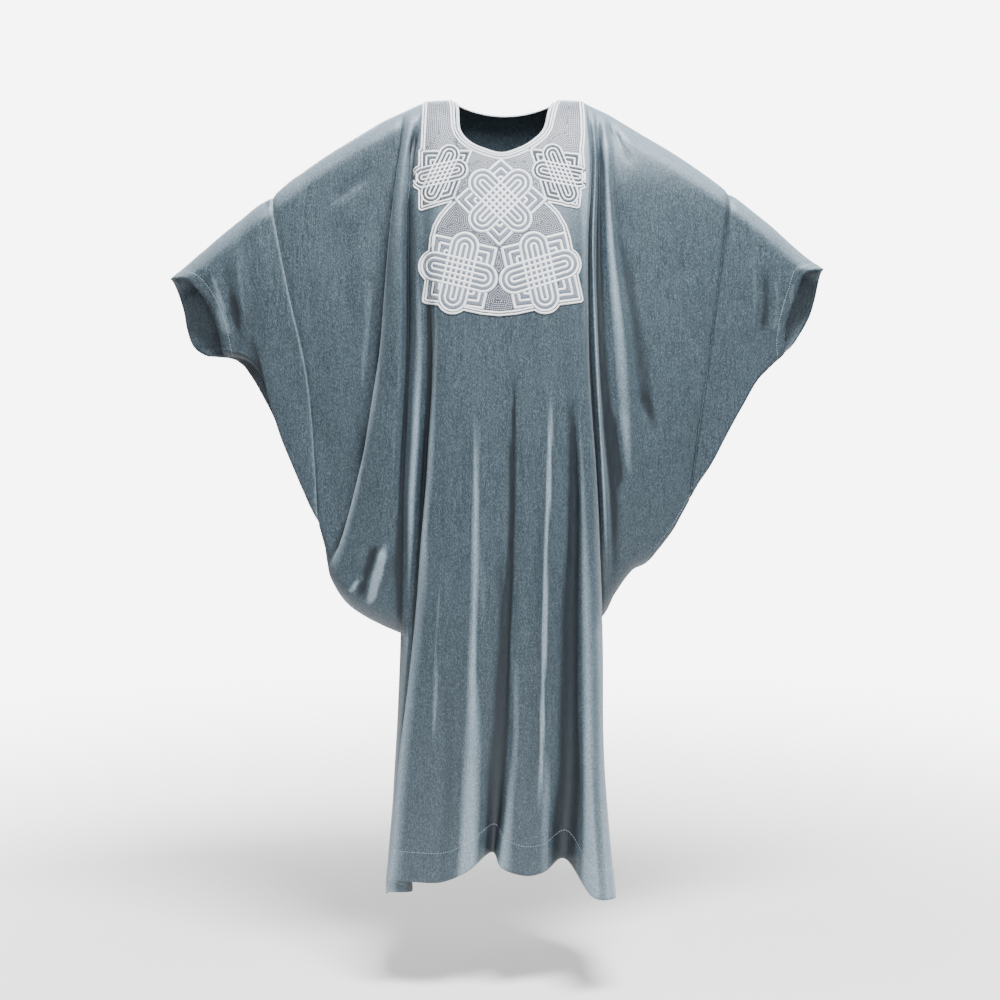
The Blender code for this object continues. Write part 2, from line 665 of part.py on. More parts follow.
def build_bib(sheet, material, parts, cutters):
    """The embroidery: the front's own skin moved out, cut to the bib's outline."""
    lifted = sheet.points + sheet.normals * (BIB_GAP + BIB_WALL)
    walls = np.full(len(lifted), BIB_WALL)
    faces = sheet.triangles("centre")
    reach = sheet.points[faces][:, :, 2].min(axis=1) > BIB_REACH
    bib = shell("bib_embroidery", lifted, sheet.normals, walls, faces[reach], material, parts)
    half = [(BIB_CENTRE + x, z) for x, z in BIB_OUTLINE]
    other = [(BIB_CENTRE - x, z) for x, z in BIB_OUTLINE[-2::-1]]
    outline = half + other
    mesh = bpy.data.meshes.new("bib_outline")
    draft = bmesh.new()
    ring = [draft.verts.new((x * MM, CUTTER[0] * MM, z * MM)) for x, z in outline]
    face = draft.faces.new(ring)
    grown = bmesh.ops.extrude_face_region(draft, geom=[face])["geom"]
    moved = [item for item in grown if isinstance(item, bmesh.types.BMVert)]
    bmesh.ops.translate(draft, verts=moved, vec=(0, (CUTTER[1] - CUTTER[0]) * MM, 0))
    bmesh.ops.recalc_face_normals(draft, faces=draft.faces)
    bmesh.ops.triangulate(draft, faces=draft.faces)
    draft.to_mesh(mesh)
    draft.free()
    cutter = bpy.data.objects.new("bib_outline", mesh)
    cutter.hide_render = True
    cutter.display_type = "WIRE"
    cutters.objects.link(cutter)
    cut = bib.modifiers.new("outline", "BOOLEAN")
    cut.operation = "INTERSECT"
    cut.object = cutter
    return bib


def neck_line(front, back):
    """Points round the neck opening, on the middle of the panels' edge."""
    line = []
    for sheet in (front, back):
        tops = sheet.numbers["centre"][:, 0]
        x = sheet.points[tops, 0]
        inside = (x > TOP_LEFT[0][0] * MM - LEAST) & (x < TOP_RIGHT[0][0] * MM + LEAST)
        ring = sheet.points[tops] - sheet.normals[tops] * WALL / 2
        ring = ring[inside]
        line.append(ring if sheet.name == "front" else ring[::-1])
    return np.concatenate(line)


def build_binding(front, back, material, parts):
    """A narrow rolled edge that lies just inside the neck opening."""
    line = neck_line(front, back)
    line = resample_ring(line, BINDING_RINGS)
    centre = line.mean(axis=0)
    run = np.roll(line, -1, axis=0) - np.roll(line, 1, axis=0)
    run /= np.linalg.norm(run, axis=1)[:, None]
    inward = centre - line
    inward -= run * np.einsum("ij,ij->i", inward, run)[:, None]
    inward /= np.linalg.norm(inward, axis=1)[:, None]
    up = np.cross(inward, run)
    sides = BINDING_SIDES
    rings = []
    for turn in np.arange(sides) * 2 * math.pi / sides:
        reach = BINDING_WIDTH / 2 * (1 - math.cos(turn)) + BINDING_IN
        rings.append(line + inward * reach + up * BINDING_THICK / 2 * math.sin(turn))
    points = np.stack(rings, axis=1)
    count = len(line)
    faces = []
    for i in range(count):
        for j in range(sides):
            k, m = (i + 1) % count, (j + 1) % sides
            faces += [
                (i * sides + j, k * sides + j, k * sides + m),
                (i * sides + j, k * sides + m, i * sides + m),
            ]
    mesh = bpy.data.meshes.new("neck_binding")
    mesh.from_pydata(points.reshape(-1, 3).tolist(), [], faces)
    draft = bmesh.new()
    draft.from_mesh(mesh)
    bmesh.ops.recalc_face_normals(draft, faces=draft.faces)
    draft.to_mesh(mesh)
    draft.free()
    mesh.materials.append(material)
    mesh.shade_smooth()
    item = bpy.data.objects.new("neck_binding", mesh)
    parts.objects.link(item)


def resample_ring(line, count):
    """Even points round a closed line."""
    closed = np.concatenate((line, line[:1]))
    steps = np.linalg.norm(np.diff(closed, axis=0), axis=1)
    knots = np.concatenate(([0], np.cumsum(steps)))
    places = knots[-1] * np.arange(count) / count
    return np.column_stack([np.interp(places, knots, closed[:, axis]) for axis in range(3)])


def main():
    for item in list(bpy.data.objects):
        bpy.data.objects.remove(item, do_unlink=True)
    parts = bpy.data.collections.new("robe_dress")
    cutters = bpy.data.collections.new("cutters")
    for collection in (parts, cutters):
        bpy.context.scene.collection.children.link(collection)
    velvet = plain_material(*VELVET)
    thread = plain_material(*THREAD)
    front = Sheet("front")
    back = Sheet("back")
    build_panel(front, velvet, parts)
    build_panel(back, velvet, parts)
    build_bib(front, thread, parts, cutters)
    build_binding(front, back, thread, parts)


main()
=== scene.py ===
# %% [markdown]
# # A velvet robe, dressed on its solids
# The part is a wide-sleeved pullover robe in velvet, with an embroidered bib. It hangs as it does
# when it is worn with the arms held out. It is hollow, and open at the neck, the cuffs and the hem.
# The solids give its size and its large folds. This notebook gives the cloth its smaller folds,
# its pile, its seams and hems, and the bib its threads.
# Everything is in metres. The front faces -Y, +Z is up, and the origin is on the shoulder line.

# %% Load the frame
import math

import bpy
import numpy as np
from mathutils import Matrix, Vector, geometry
from mathutils.bvhtree import BVHTree


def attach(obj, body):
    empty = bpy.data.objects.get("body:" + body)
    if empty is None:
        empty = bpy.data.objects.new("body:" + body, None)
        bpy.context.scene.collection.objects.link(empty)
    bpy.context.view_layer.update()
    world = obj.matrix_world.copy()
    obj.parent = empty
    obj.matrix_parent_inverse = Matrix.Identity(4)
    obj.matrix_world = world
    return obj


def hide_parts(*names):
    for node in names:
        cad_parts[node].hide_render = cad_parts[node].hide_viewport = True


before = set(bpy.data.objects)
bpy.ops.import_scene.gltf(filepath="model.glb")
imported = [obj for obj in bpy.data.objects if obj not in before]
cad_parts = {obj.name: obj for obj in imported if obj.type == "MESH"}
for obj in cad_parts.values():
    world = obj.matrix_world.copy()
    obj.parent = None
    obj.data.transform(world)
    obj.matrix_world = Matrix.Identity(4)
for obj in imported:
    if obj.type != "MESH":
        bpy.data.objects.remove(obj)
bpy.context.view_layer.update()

MM = 0.001

# %% [markdown]
# ## The camera
# A camera could be placed by eye. Here its height, tilt and lens are worked out from the robe:
# its known height of 1.45 m fills the picture between two known rows. The camera stands 3.2 m
# away, a little above the elbows, and looks down slightly, so the hem is seen from above.

# %% Camera
CAMERA_PLACE = (0, -3.2, -0.428)
# In picture rows: how far the horizon lies above the middle, and how long the lens is
HORIZON_ROWS, LENS_ROWS = 160, 1752
CAMERA_TILT = math.atan(HORIZON_ROWS / LENS_ROWS)
LENS, SENSOR = 63.07, 36
SIDE_SHIFT = -0.002

camera = bpy.data.cameras.new("front_camera")
camera.lens, camera.sensor_width, camera.shift_x = LENS, SENSOR, SIDE_SHIFT
camera_stand = bpy.data.objects.new("front_camera", camera)
camera_stand.location = CAMERA_PLACE
camera_stand.rotation_euler = (math.pi / 2 - CAMERA_TILT, 0, 0)
scene = bpy.context.scene
scene.collection.objects.link(camera_stand)
scene.camera = camera_stand
print("camera looks down by", round(math.degrees(CAMERA_TILT), 1), "degrees")

# %% [markdown]
# ## Meshes from numbers
# Cloth could be drawn by hand, one point at a time. Here every piece is made from rows of
# numbers, so one small helper turns points and faces into an object, and is used throughout.

# %% A helper that makes a mesh
def make_piece(name, points, faces, material=None, along=None):
    """An object from points in metres. along is an optional place along a thread for each point."""
    mesh = bpy.data.meshes.new(name)
    mesh.from_pydata(np.asarray(points).tolist(), [], np.asarray(faces).tolist())
    if along is not None:
        layer = mesh.uv_layers.new(name="along")
        loops = np.empty(len(mesh.loops), int)
        mesh.loops.foreach_get("vertex_index", loops)
        layer.data.foreach_set("uv", np.asarray(along)[loops].astype(np.float32).ravel())
    if material:
        mesh.materials.append(material)
    mesh.shade_smooth()
    item = bpy.data.objects.new(name, mesh)
    scene.collection.objects.link(item)
    return item

# %% [markdown]
# ## Floor
# The robe hangs over a pale floor. A paper sweep that curves up into a wall would hide the robe
# from a camera that walks round behind it. One flat plane would leave a hard line at the horizon.
# So the floor is a round sheet that turns clear bit by bit from under the robe outwards. Well
# before its rim nothing of it is left, and beyond it there is only the pale room.

# %% Floor
FLOOR_Z = -1.62
FLOOR_RADIUS = 6.0
FADE_START, FADE_END = 0.3, 3.6
RIM_POINTS = 48
PAPER_COLOUR = (0.86, 0.86, 0.86, 1)

rim = [(FLOOR_RADIUS * math.cos(turn), FLOOR_RADIUS * math.sin(turn), FLOOR_Z)
       for turn in np.linspace(0, math.tau, RIM_POINTS, endpoint=False)]
paper = bpy.data.materials.new("pale_paper")
paper.use_nodes = True
tree = paper.node_tree
tree.nodes["Principled BSDF"].inputs["Base Color"].default_value = PAPER_COLOUR
tree.nodes["Principled BSDF"].inputs["Roughness"].default_value = 0.9
place = tree.nodes.new("ShaderNodeTexCoord").outputs["Object"]
flat = tree.nodes.new("ShaderNodeVectorMath")
flat.operation = "MULTIPLY"
flat.inputs[1].default_value = (1, 1, 0)
far = tree.nodes.new("ShaderNodeVectorMath")
far.operation = "LENGTH"
fade = tree.nodes.new("ShaderNodeMapRange")
fade.interpolation_type = "SMOOTHERSTEP"
fade.inputs["From Min"].default_value, fade.inputs["From Max"].default_value = FADE_START, FADE_END
clear = tree.nodes.new("ShaderNodeBsdfTransparent")
blend = tree.nodes.new("ShaderNodeMixShader")
tree.links.new(place, flat.inputs[0])
tree.links.new(flat.outputs["Vector"], far.inputs[0])
tree.links.new(far.outputs["Value"], fade.inputs["Value"])
tree.links.new(fade.outputs["Result"], blend.inputs[0])
tree.links.new(tree.nodes["Principled BSDF"].outputs["BSDF"], blend.inputs[1])
tree.links.new(clear.outputs["BSDF"], blend.inputs[2])
tree.links.new(blend.outputs["Shader"], tree.nodes["Material Output"].inputs["Surface"])
floor = make_piece("floor", rim, [tuple(range(len(rim)))], paper)
print("floor fades out from", FADE_START, "to", FADE_END, "m")

# %% [markdown]
# ## Soft boxes and the room
# Velvet shows its folds under one large light from above: the tops of the arms go pale, and the
# grooves stay dark. One lamp alone would leave the sides and the back black, so weaker soft boxes
# stand all round, and a strong one behind.
# The room has two strengths. What lights the cloth is dim, and what a camera sees behind the robe
# is bright. With one strength for both, the ground would be grey or the folds would be washed out.

# %% Soft boxes
def soft_box(name, place, aim, size, watts):
    """An area light at place that faces aim."""
    lamp = bpy.data.lights.new(name, "AREA")
    lamp.shape, lamp.size, lamp.size_y, lamp.energy = "RECTANGLE", size[0], size[1], watts
    stand = bpy.data.objects.new(name, lamp)
    stand.location = place
    stand.rotation_euler = (Vector(aim) - Vector(place)).to_track_quat("-Z", "Y").to_euler()
    stand.visible_camera = False
    scene.collection.objects.link(stand)


BOXES = (
    # name, place, aim, size, watts
    ("top_box", (0.5, -1.5, 2.2), (0, 0, -0.5), (1.5, 0.7), 420),
    ("left_box", (-2.9, -0.9, 0.6), (0, 0, -0.6), (0.7, 2.2), 24),
    ("right_box", (2.9, -1.2, 0.5), (0, 0, -0.7), (0.7, 2.2), 16),
    ("front_box", (0.6, -4.2, 0.6), (0, 0, -0.8), (1.4, 1.4), 24),
    ("left_edge_box", (-2.0, 1.2, 0.6), (0, 0, -0.4), (0.6, 2.0), 7),
    ("right_edge_box", (2.0, 1.2, 0.6), (0, 0, -0.4), (0.6, 2.0), 7),
    ("back_box", (-0.8, 3.6, 1.3), (0, 0, -0.7), (1.6, 1.6), 190),
)
LIGHT_OF_ROOM = 0.28
LOOK_OF_ROOM = 7.0

for box in BOXES:
    soft_box(*box)
world = bpy.data.worlds.new("studio")
world.use_nodes = True
tree = world.node_tree
dim, bright = tree.nodes["Background"], tree.nodes.new("ShaderNodeBackground")
for sky, strength in ((dim, LIGHT_OF_ROOM), (bright, LOOK_OF_ROOM)):
    sky.inputs["Color"].default_value = (1, 1, 1, 1)
    sky.inputs["Strength"].default_value = strength
seen = tree.nodes.new("ShaderNodeLightPath").outputs["Is Camera Ray"]
blend = tree.nodes.new("ShaderNodeMixShader")
tree.links.new(seen, blend.inputs[0])
tree.links.new(dim.outputs["Background"], blend.inputs[1])
tree.links.new(bright.outputs["Background"], blend.inputs[2])
tree.links.new(blend.outputs["Shader"], tree.nodes["World Output"].inputs["Surface"])
scene.world = world
print("soft boxes", len(BOXES))

# %% [markdown]
# ## The pattern of the robe
# A robe like this is cut flat: a front and a back, each as wide as both arms, and a short
# extension on each sleeve where the velvet's width ends. It could be draped by simulation, but
# then its folds would fall where they like. Here every large fold is a line from the shoulder
# down, with its places and depths in a table, and the cloth is a smooth skin through the lines.
# The tables repeat those of the solids, so that the velvet stays where the solids are.

# %% Heights and outline
HEIGHTS = (0, -100, -250, -450, -700, -960, -1200, -1430)

# Top edge of shoulder and sleeve: x, z in millimetres, left and right as seen from the front
TOP_LEFT = (
    (-90, 0), (-129, -2), (-142, -4), (-163, -13), (-219, -39), (-232, -47),
    (-326, -104), (-376, -139), (-415, -169), (-455, -198), (-500, -234), (-574, -296),
    (-601, -319),
)
TOP_RIGHT = (
    (101, 0), (144, -2), (151, -6), (190, -24), (244, -56), (314, -97),
    (365, -131), (409, -163), (426, -176), (485, -222), (556, -283), (583, -301),
)
# Foot of the wing from its last fold to the cuff: x, z
LOW_LEFT = (
    (-337, -762), (-354, -727), (-381, -664), (-402, -611), (-423, -541), (-434, -500),
    (-456, -470), (-506, -453),
)
LOW_RIGHT = (
    (306, -788), (330, -746), (344, -720), (357, -695), (380, -660), (411, -600), (434, -556),
    (466, -501), (513, -453),
)
# Sleeve seams and cuffs from top to bottom: x, z
SEAM_LEFT = ((-415, -169), (-386, -330), (-353, -500), (-342, -640), (-337, -762))
SEAM_RIGHT = ((409, -163), (392, -310), (373, -472), (358, -600), (344, -720))
CUFF_FRONT_LEFT = (
    (-601, -319), (-566, -320), (-547, -337), (-528, -367), (-515, -405), (-506, -453),
)
CUFF_FRONT_RIGHT = (
    (583, -301), (541, -311), (532, -338), (520, -374), (512, -409), (513, -453),
)
CUFF_BACK_LEFT = (
    (-601, -319), (-592, -350), (-583, -380), (-577, -410), (-562, -444), (-540, -457),
    (-506, -453),
)
CUFF_BACK_RIGHT = (
    (583, -301), (576, -345), (563, -386), (545, -418), (532, -437), (513, -453),
)

# %% Fold tables
# Wing folds from the hip outwards: x at the first five HEIGHTS, depth there, end x, z and depth
WING_LEFT = (
    ("side", (-140, -161, -165, -167, -179), (34, 54, 68, 72, 68), -187, -966, 60),
    ("lobe", (-149, -168, -177, -180, -202), (34, 60, 84, 86, 74), -238, -943, 58),
    ("ridge", (-158, -174, -190, -199, -243), (36, 60, 84, 84, 66), -286, -910, 48),
    ("edge", (-167, -182, -201, -219, -266), (36, 52, 66, 66, 50), -315, -864, 36),
    ("under", (-176, -181, -187, -200, -244), (34, 40, 40, 38, 24), -321, -838, 24),
    ("out", (-187, -196, -222, -246, -288), (38, 40, 42, 38, 22), -325, -808, 20),
)
WING_RIGHT = (
    ("side", (152, 159, 153, 155, 171), (34, 56, 76, 92, 92), 183, -938, 60),
    ("ridge", (160, 165, 160, 166, 181), (36, 60, 86, 104, 102), 194, -922, 50),
    ("groove", (168, 172, 171, 175, 198), (34, 52, 68, 82, 74), 209, -890, 42),
    ("fold", (178, 183, 192, 215, 232), (36, 62, 80, 84, 62), 240, -850, 34),
    ("hollow", (192, 197, 212, 244, 262), (34, 54, 66, 66, 48), 264, -837, 30),
    ("out", (210, 216, 234, 272, 290), (38, 56, 62, 60, 40), 290, -808, 26),
)
# Folds between the hips: x at all HEIGHTS, depth there, z at the neck (0 on the shoulder), hem z
CENTRE = (
    ("side_left", (-140, -161, -165, -167, -179, -187, -198, -215),
     (34, 54, 68, 72, 68, 0, 0, 0), 0, -1460),
    ("fold_left", (-132, -151, -151, -147, -161, -172, -191, -210),
     (34, 62, 88, 96, 92, 72, 58, 46), 0, -1443),
    ("trough_left", (-124, -139, -137, -126, -140, -160, -176, -164),
     (34, 66, 94, 92, 80, 78, 72, 60), 0, -1436),
    ("edge_left", (-111, -123, -118, -117, -134, -157, -187, -208),
     (34, 72, 108, 116, 113, 106, 100, 92), 0, -1405),
    ("neck_left", (-90, -88, -96, -98, -104, -122, -140, -159),
     (30, 76, 114, 124, 124, 122, 116, 108), 0, -1404),
    ("scoop_left", (-84, -77, -77, -77, -76, -87, -96, -112),
     (30, 80, 118, 127, 128, 126, 120, 112), -60, -1403),
    ("ridge_left", (-64, -60, -56, -52, -46, -50, -55, -66),
     (30, 84, 121, 129, 133, 134, 130, 120), -83, -1381),
    ("trough_centre", (-36, -35, -18, 8, 17, 4, -6, -23),
     (30, 86, 122, 129, 126, 120, 106, 74), -96, -1355),
    ("point", (-2, -1, 10, 33, 40, 29, 20, -6),
     (30, 87, 122, 130, 132, 131, 124, 107), -105, -1378),
    ("flat", (32, 31, 37, 55, 60, 53, 50, 43),
     (30, 86, 122, 130, 131, 130, 123, 112), -96, -1391),
    ("ridge_centre", (60, 55, 60, 77, 83, 76, 79, 74),
     (30, 84, 121, 130, 134, 134, 126, 102), -82, -1386),
    ("trough_right", (80, 77, 85, 105, 124, 121, 121, 108),
     (30, 80, 118, 124, 117, 114, 104, 78), -60, -1366),
    ("neck_right", (101, 97, 112, 129, 144, 152, 157, 166),
     (30, 76, 114, 123, 126, 130, 137, 148), 0, -1422),
    ("edge_right", (146, 152, 146, 146, 163, 175, 180, 200),
     (34, 70, 102, 116, 118, 114, 120, 134), 0, -1427),
    ("side_right", (152, 159, 153, 155, 171, 183, 183, 199),
     (34, 56, 76, 92, 92, 0, 0, 0), 0, -1446),
)
# The back: depths at HEIGHTS, and its folds by share of the width, half width, depth at hip, hem
BACK_MIDDLE = (34, 74, 100, 106, 112, 122, 132, 144)
BACK_SIDE = (34, 50, 62, 66, 62, 58, 56, 54)
BACK_FOLDS = (
    ("left", 0.22, 0.075, 20, 40),
    ("middle_left", 0.43, 0.065, 14, 28),
    ("middle_right", 0.60, 0.07, 18, 36),
    ("right", 0.80, 0.07, 18, 38),
)
print("fold lines", len(WING_LEFT) + len(WING_RIGHT) + len(CENTRE), "and", len(BACK_FOLDS), "behind")

# %% [markdown]
# ## Smooth lines through a few points
# Every fold line is known at a few heights only. Straight lines between them would show as facets,
# so each is read from a smooth curve. `refine` does the same across the folds, which puts several
# columns of cloth between two fold lines.

# %% Curves
def smooth(share):
    """A share that starts and ends softly, held between 0 and 1."""
    share = np.clip(share, 0, 1)
    return share * share * (3 - 2 * share)


def as_column(numbers, like):
    return np.reshape(numbers, np.shape(numbers) + (1,) * (like.ndim - 1))


def spline(knots, values, at):
    """Read a smooth curve through values given at rising knots."""
    knots, values, at = (np.asarray(item, float) for item in (knots, values, at))
    chords = np.diff(values, axis=0) / as_column(np.diff(knots), values)
    slopes = np.empty_like(values)
    slopes[0], slopes[-1] = chords[0], chords[-1]
    before, after = np.diff(knots)[:-1], np.diff(knots)[1:]
    share = as_column(after / (before + after), values)
    slopes[1:-1] = chords[:-1] * share + chords[1:] * (1 - share)
    span = np.clip(np.searchsorted(knots, at, side="right") - 1, 0, len(knots) - 2)
    width = knots[span + 1] - knots[span]
    u = as_column((at - knots[span]) / width, values)
    width = as_column(width, values)
    lift = u * u * (3 - 2 * u)
    return (
        values[span] * (1 - lift) + values[span + 1] * lift
        + width * (slopes[span] * (u - 2 * u**2 + u**3) + slopes[span + 1] * (u**3 - u**2))
    )


def lengths_along(points):
    steps = np.linalg.norm(np.diff(np.asarray(points, float), axis=0), axis=1)
    return np.concatenate(([0], np.cumsum(steps)))


def along(points, shares):
    """Places at shares of the length of a smooth line through points."""
    knots = lengths_along(points)
    return spline(knots, points, np.asarray(shares) * knots[-1])


print("the left shoulder and sleeve edge is", round(float(lengths_along(TOP_LEFT)[-1])), "mm long")

# %% Columns between columns
def refine(columns, steps):
    """Put steps spans between each pair of columns, on a smooth curve across them, row by row."""
    rows = []
    for row in np.asarray(columns, float).transpose(1, 0, 2):
        gaps = np.sqrt(np.linalg.norm(np.diff(row, axis=0), axis=1)) + 1e-4
        knots = np.concatenate(([0], np.cumsum(gaps)))
        places = np.concatenate(
            [knots[i] + gaps[i] * np.arange(steps) / steps for i in range(len(gaps))] + [[knots[-1]]]
        )
        rows.append(spline(knots, row, places))
    return np.array(rows).transpose(1, 0, 2)


def shoulder_height(x, outline):
    """Height of the shoulder and sleeve edge at x."""
    outline = sorted((abs(px), pz) for px, pz in outline)
    return np.interp(abs(x), *np.transpose(outline))


def at_height(values, z):
    """Read a table row, given at HEIGHTS, at any heights."""
    knots = -np.array(HEIGHTS, float)
    return spline(knots, values, np.clip(-z, 0, knots[-1]))


print("the left cuff starts at a height of", float(shoulder_height(TOP_LEFT[-1][0], TOP_LEFT)), "mm")

# %% [markdown]
# ## How the cloth rolls over the arm
# Front and back are sewn together along the top of the arm and along the foot of the wing. Cloth
# doesn't fold there like paper. It rolls over the arm in a wide curve and turns gently at its
# foot, so the rows of points crowd together where it rolls.

# %% Rolls
TOP_ROLL = 40
LOW_ROLLS = {"cuff": 9, "seam": 14, "wing": 20, "hip": 45}
SEAM_ROLL = 27
SEAM_ROLL_AT_SLEEVE = 0.8
ARC_ROWS = 8
MIDDLE_ROWS = 56
SPAN_STEPS = 7
WING_COLUMNS = 26
SLEEVE_COLUMNS = 30


def drop_rows(height, low_roll, seam_roll, lead):
    """Drops from the top edge to each row, and how far round the low roll each row lies."""
    turn = np.linspace(0, math.pi / 2, ARC_ROWS + 1)
    top_drop = TOP_ROLL * (1 - np.cos(turn))
    quarter = low_roll * math.pi / 2
    if lead > 0:
        walk = seam_roll + quarter * np.linspace(1, 0, ARC_ROWS + 1)
    else:
        walk = np.linspace(-quarter, seam_roll, 2 * ARC_ROWS + 1)
    rise = np.where(
        np.abs(walk) < quarter,
        low_roll * (1 - np.cos(walk / low_roll)),
        low_roll + np.abs(walk) - quarter,
    )
    low_side = lead * np.sin(np.clip(walk / low_roll, -math.pi / 2, math.pi / 2))
    middle = np.linspace(top_drop[-1], height - rise[0], MIDDLE_ROWS + 2)[1:-1]
    drops = np.concatenate((top_drop, middle, height - rise))
    return drops, np.concatenate((np.ones(ARC_ROWS + 1 + MIDDLE_ROWS), low_side))


def roll_over(columns, lead):
    """Turn columns of x, depth, z and drop into points in metres, rolled over the arm."""
    turn = np.clip(columns[..., 3] / TOP_ROLL, 0, 1)
    over = np.sqrt(np.clip(1 - (1 - turn) ** 2, 0, 1))
    return np.stack((columns[..., 0], -lead * columns[..., 1] * over, columns[..., 2]), axis=-1) * MM


print("rows down a wing", len(drop_rows(500, LOW_ROLLS["wing"], 0, 1)[0]))

# %% [markdown]
# ## Wings and sleeves
# Each wing starts in steep folds beside the body and opens into a plain field of cloth. At the
# sleeve seam the extension goes on to the cuff. The fields are blended from their four edges.

# %% Readers of a fold line and of a sleeve line
def fold_reader(fold, top, side, face):
    """Places and depths of one wing fold, at any shares of its drop."""
    _name, xs, depths, end_x, end_z, end_depth = fold
    start_z = shoulder_height(xs[0], top)
    heights = np.array([start_z, *HEIGHTS[1:5], end_z])
    shares = (start_z - heights) / (start_z - end_z)
    places = np.column_stack(([*xs, end_x], heights))
    depths = np.array([*depths, end_depth], float)
    fan = np.column_stack((xs[0] + (end_x - xs[0]) * shares**1.25, heights))
    plain = np.interp(heights, HEIGHTS[::-1], BACK_SIDE[::-1])
    plain[-1] = end_depth
    outer = min(1, abs(abs(xs[0]) - 140) / 60)
    plain = plain * (1 - 0.35 * outer * np.clip(shares * 2, 0, 1))

    def read(down):
        place, depth = spline(shares, places, down), spline(shares, depths, down)
        if face == "front":
            return place, depth
        near = smooth((down - 0.72) / 0.2) if side == "right" else 0 * down
        own_place, own_depth = spline(shares, fan, down), spline(shares, plain, down)
        return (
            own_place + (place - own_place) * near[:, None],
            own_depth + (depth - own_depth) * near,
        )

    return read


def sleeve_reader(points):
    """Places and depths down a line over the arm: as deep as the arm, and flat at its foot."""
    knots = lengths_along(points)
    shares = knots / knots[-1]
    depths = np.interp(shares, (0, 0.15, 0.5, 1), (40, 40, 26, 13))
    return lambda down: (spline(shares, points, down), spline(shares, depths, down))


print("the lowest wing fold ends at", min(fold[4] for fold in WING_LEFT + WING_RIGHT), "mm")

# %% The plain fields of cloth
def field(top, low, start, end, shares_across, rolls, seam_rolls, lead):
    """Columns between two given ones, blended from all four edges of the field."""
    columns = []
    for share in shares_across:
        upper, lower = along(top, [share])[0], along(low, [share])[0]
        height = np.linalg.norm(upper - lower)
        low_roll = rolls[0] + (rolls[1] - rolls[0]) * share
        roll = (seam_rolls[0] + (seam_rolls[1] - seam_rolls[0]) * share) * SEAM_ROLL
        drops, turned = drop_rows(height, low_roll, roll, lead)
        down = drops / height
        (one, one_depth), (two, two_depth) = start(down), end(down)
        line = np.outer(1 - down, upper) + np.outer(down, lower)
        tips = np.array((0.0, 1.0))
        ends = (1 - share) * start(tips)[0] + share * end(tips)[0]
        across = one * (1 - share) + two * share
        place = across + line - np.outer(1 - down, ends[0]) - np.outer(down, ends[1])
        depth = (one_depth * (1 - share) + two_depth * share) * turned
        columns.append(np.column_stack((place[:, 0], depth, place[:, 1], drops)))
    return columns


def wing(side, face):
    """Columns from the hip out to the cuff, and the number of the sleeve seam's column."""
    left = side == "left"
    folds, top, low, seam = (
        (WING_LEFT, TOP_LEFT, LOW_LEFT, SEAM_LEFT) if left
        else (WING_RIGHT, TOP_RIGHT, LOW_RIGHT, SEAM_RIGHT)
    )
    cuff = {
        ("left", "front"): CUFF_FRONT_LEFT, ("right", "front"): CUFF_FRONT_RIGHT,
        ("left", "back"): CUFF_BACK_LEFT, ("right", "back"): CUFF_BACK_RIGHT,
    }[side, face]
    lead = 1 if face == "front" else -1
    columns, last = [], len(folds) - 1
    for number, fold in enumerate(folds):
        read = fold_reader(fold, top, side, face)
        ends = read(np.array((0.0, 1.0)))[0]
        height = ends[0, 1] - ends[1, 1]
        low_roll = np.interp(number, (0, last), (LOW_ROLLS["hip"], LOW_ROLLS["wing"]))
        roll = 0 if left else SEAM_ROLL * np.interp(number, (1, last), (0, 1))
        drops, turned = drop_rows(height, low_roll, roll, lead)
        place, depth = read(drops / height)
        columns.append(np.column_stack((place[:, 0], depth * turned, place[:, 1], drops)))
    inner = refine(columns, SPAN_STEPS)

    out = fold_reader(folds[-1], top, side, face)
    ends = out(np.array((0.0, 1.0)))[0]
    seam_x = abs(seam[0][0])
    between = [p for p in top if abs(ends[0, 0]) < abs(p[0]) < seam_x]
    split = low.index(seam[-1])
    rolled = 0 if left else 1
    plain = field(
        [tuple(ends[0]), *between, seam[0]], [tuple(ends[1]), *low[: split + 1]],
        out, sleeve_reader(seam), np.linspace(0, 1, WING_COLUMNS + 1)[1:],
        (LOW_ROLLS["wing"], LOW_ROLLS["seam"]), (rolled, SEAM_ROLL_AT_SLEEVE * rolled), lead,
    )
    sleeve = field(
        [p for p in top if abs(p[0]) >= seam_x], low[split:],
        sleeve_reader(seam), sleeve_reader(cuff), np.linspace(0, 1, SLEEVE_COLUMNS + 1)[1:],
        (LOW_ROLLS["seam"], LOW_ROLLS["cuff"]), (SEAM_ROLL_AT_SLEEVE * rolled, 0), lead,
    )
    return np.concatenate((inner, plain, sleeve)), len(inner) + WING_COLUMNS - 1


print("columns in the left wing", len(wing("left", "front")[0]))

# %% [markdown]
# ## The body of the robe
# The front hangs from the neck in a few long folds, and its hem swings up and down with them. The
# back hangs plainer. It bows out behind, and four shallow folds run down to its hem.

# %% Front and back between the hips
SKIRT_ROWS = 72
BACK_COLUMNS = 110
BACK_HEM = -1415
BACK_HEM_FLAT = (0.16, 0.04)


def skirt_heights(hip_z, hem_z):
    return hip_z + (hem_z - hip_z) * np.linspace(0, 1, SKIRT_ROWS + 1)[1:]


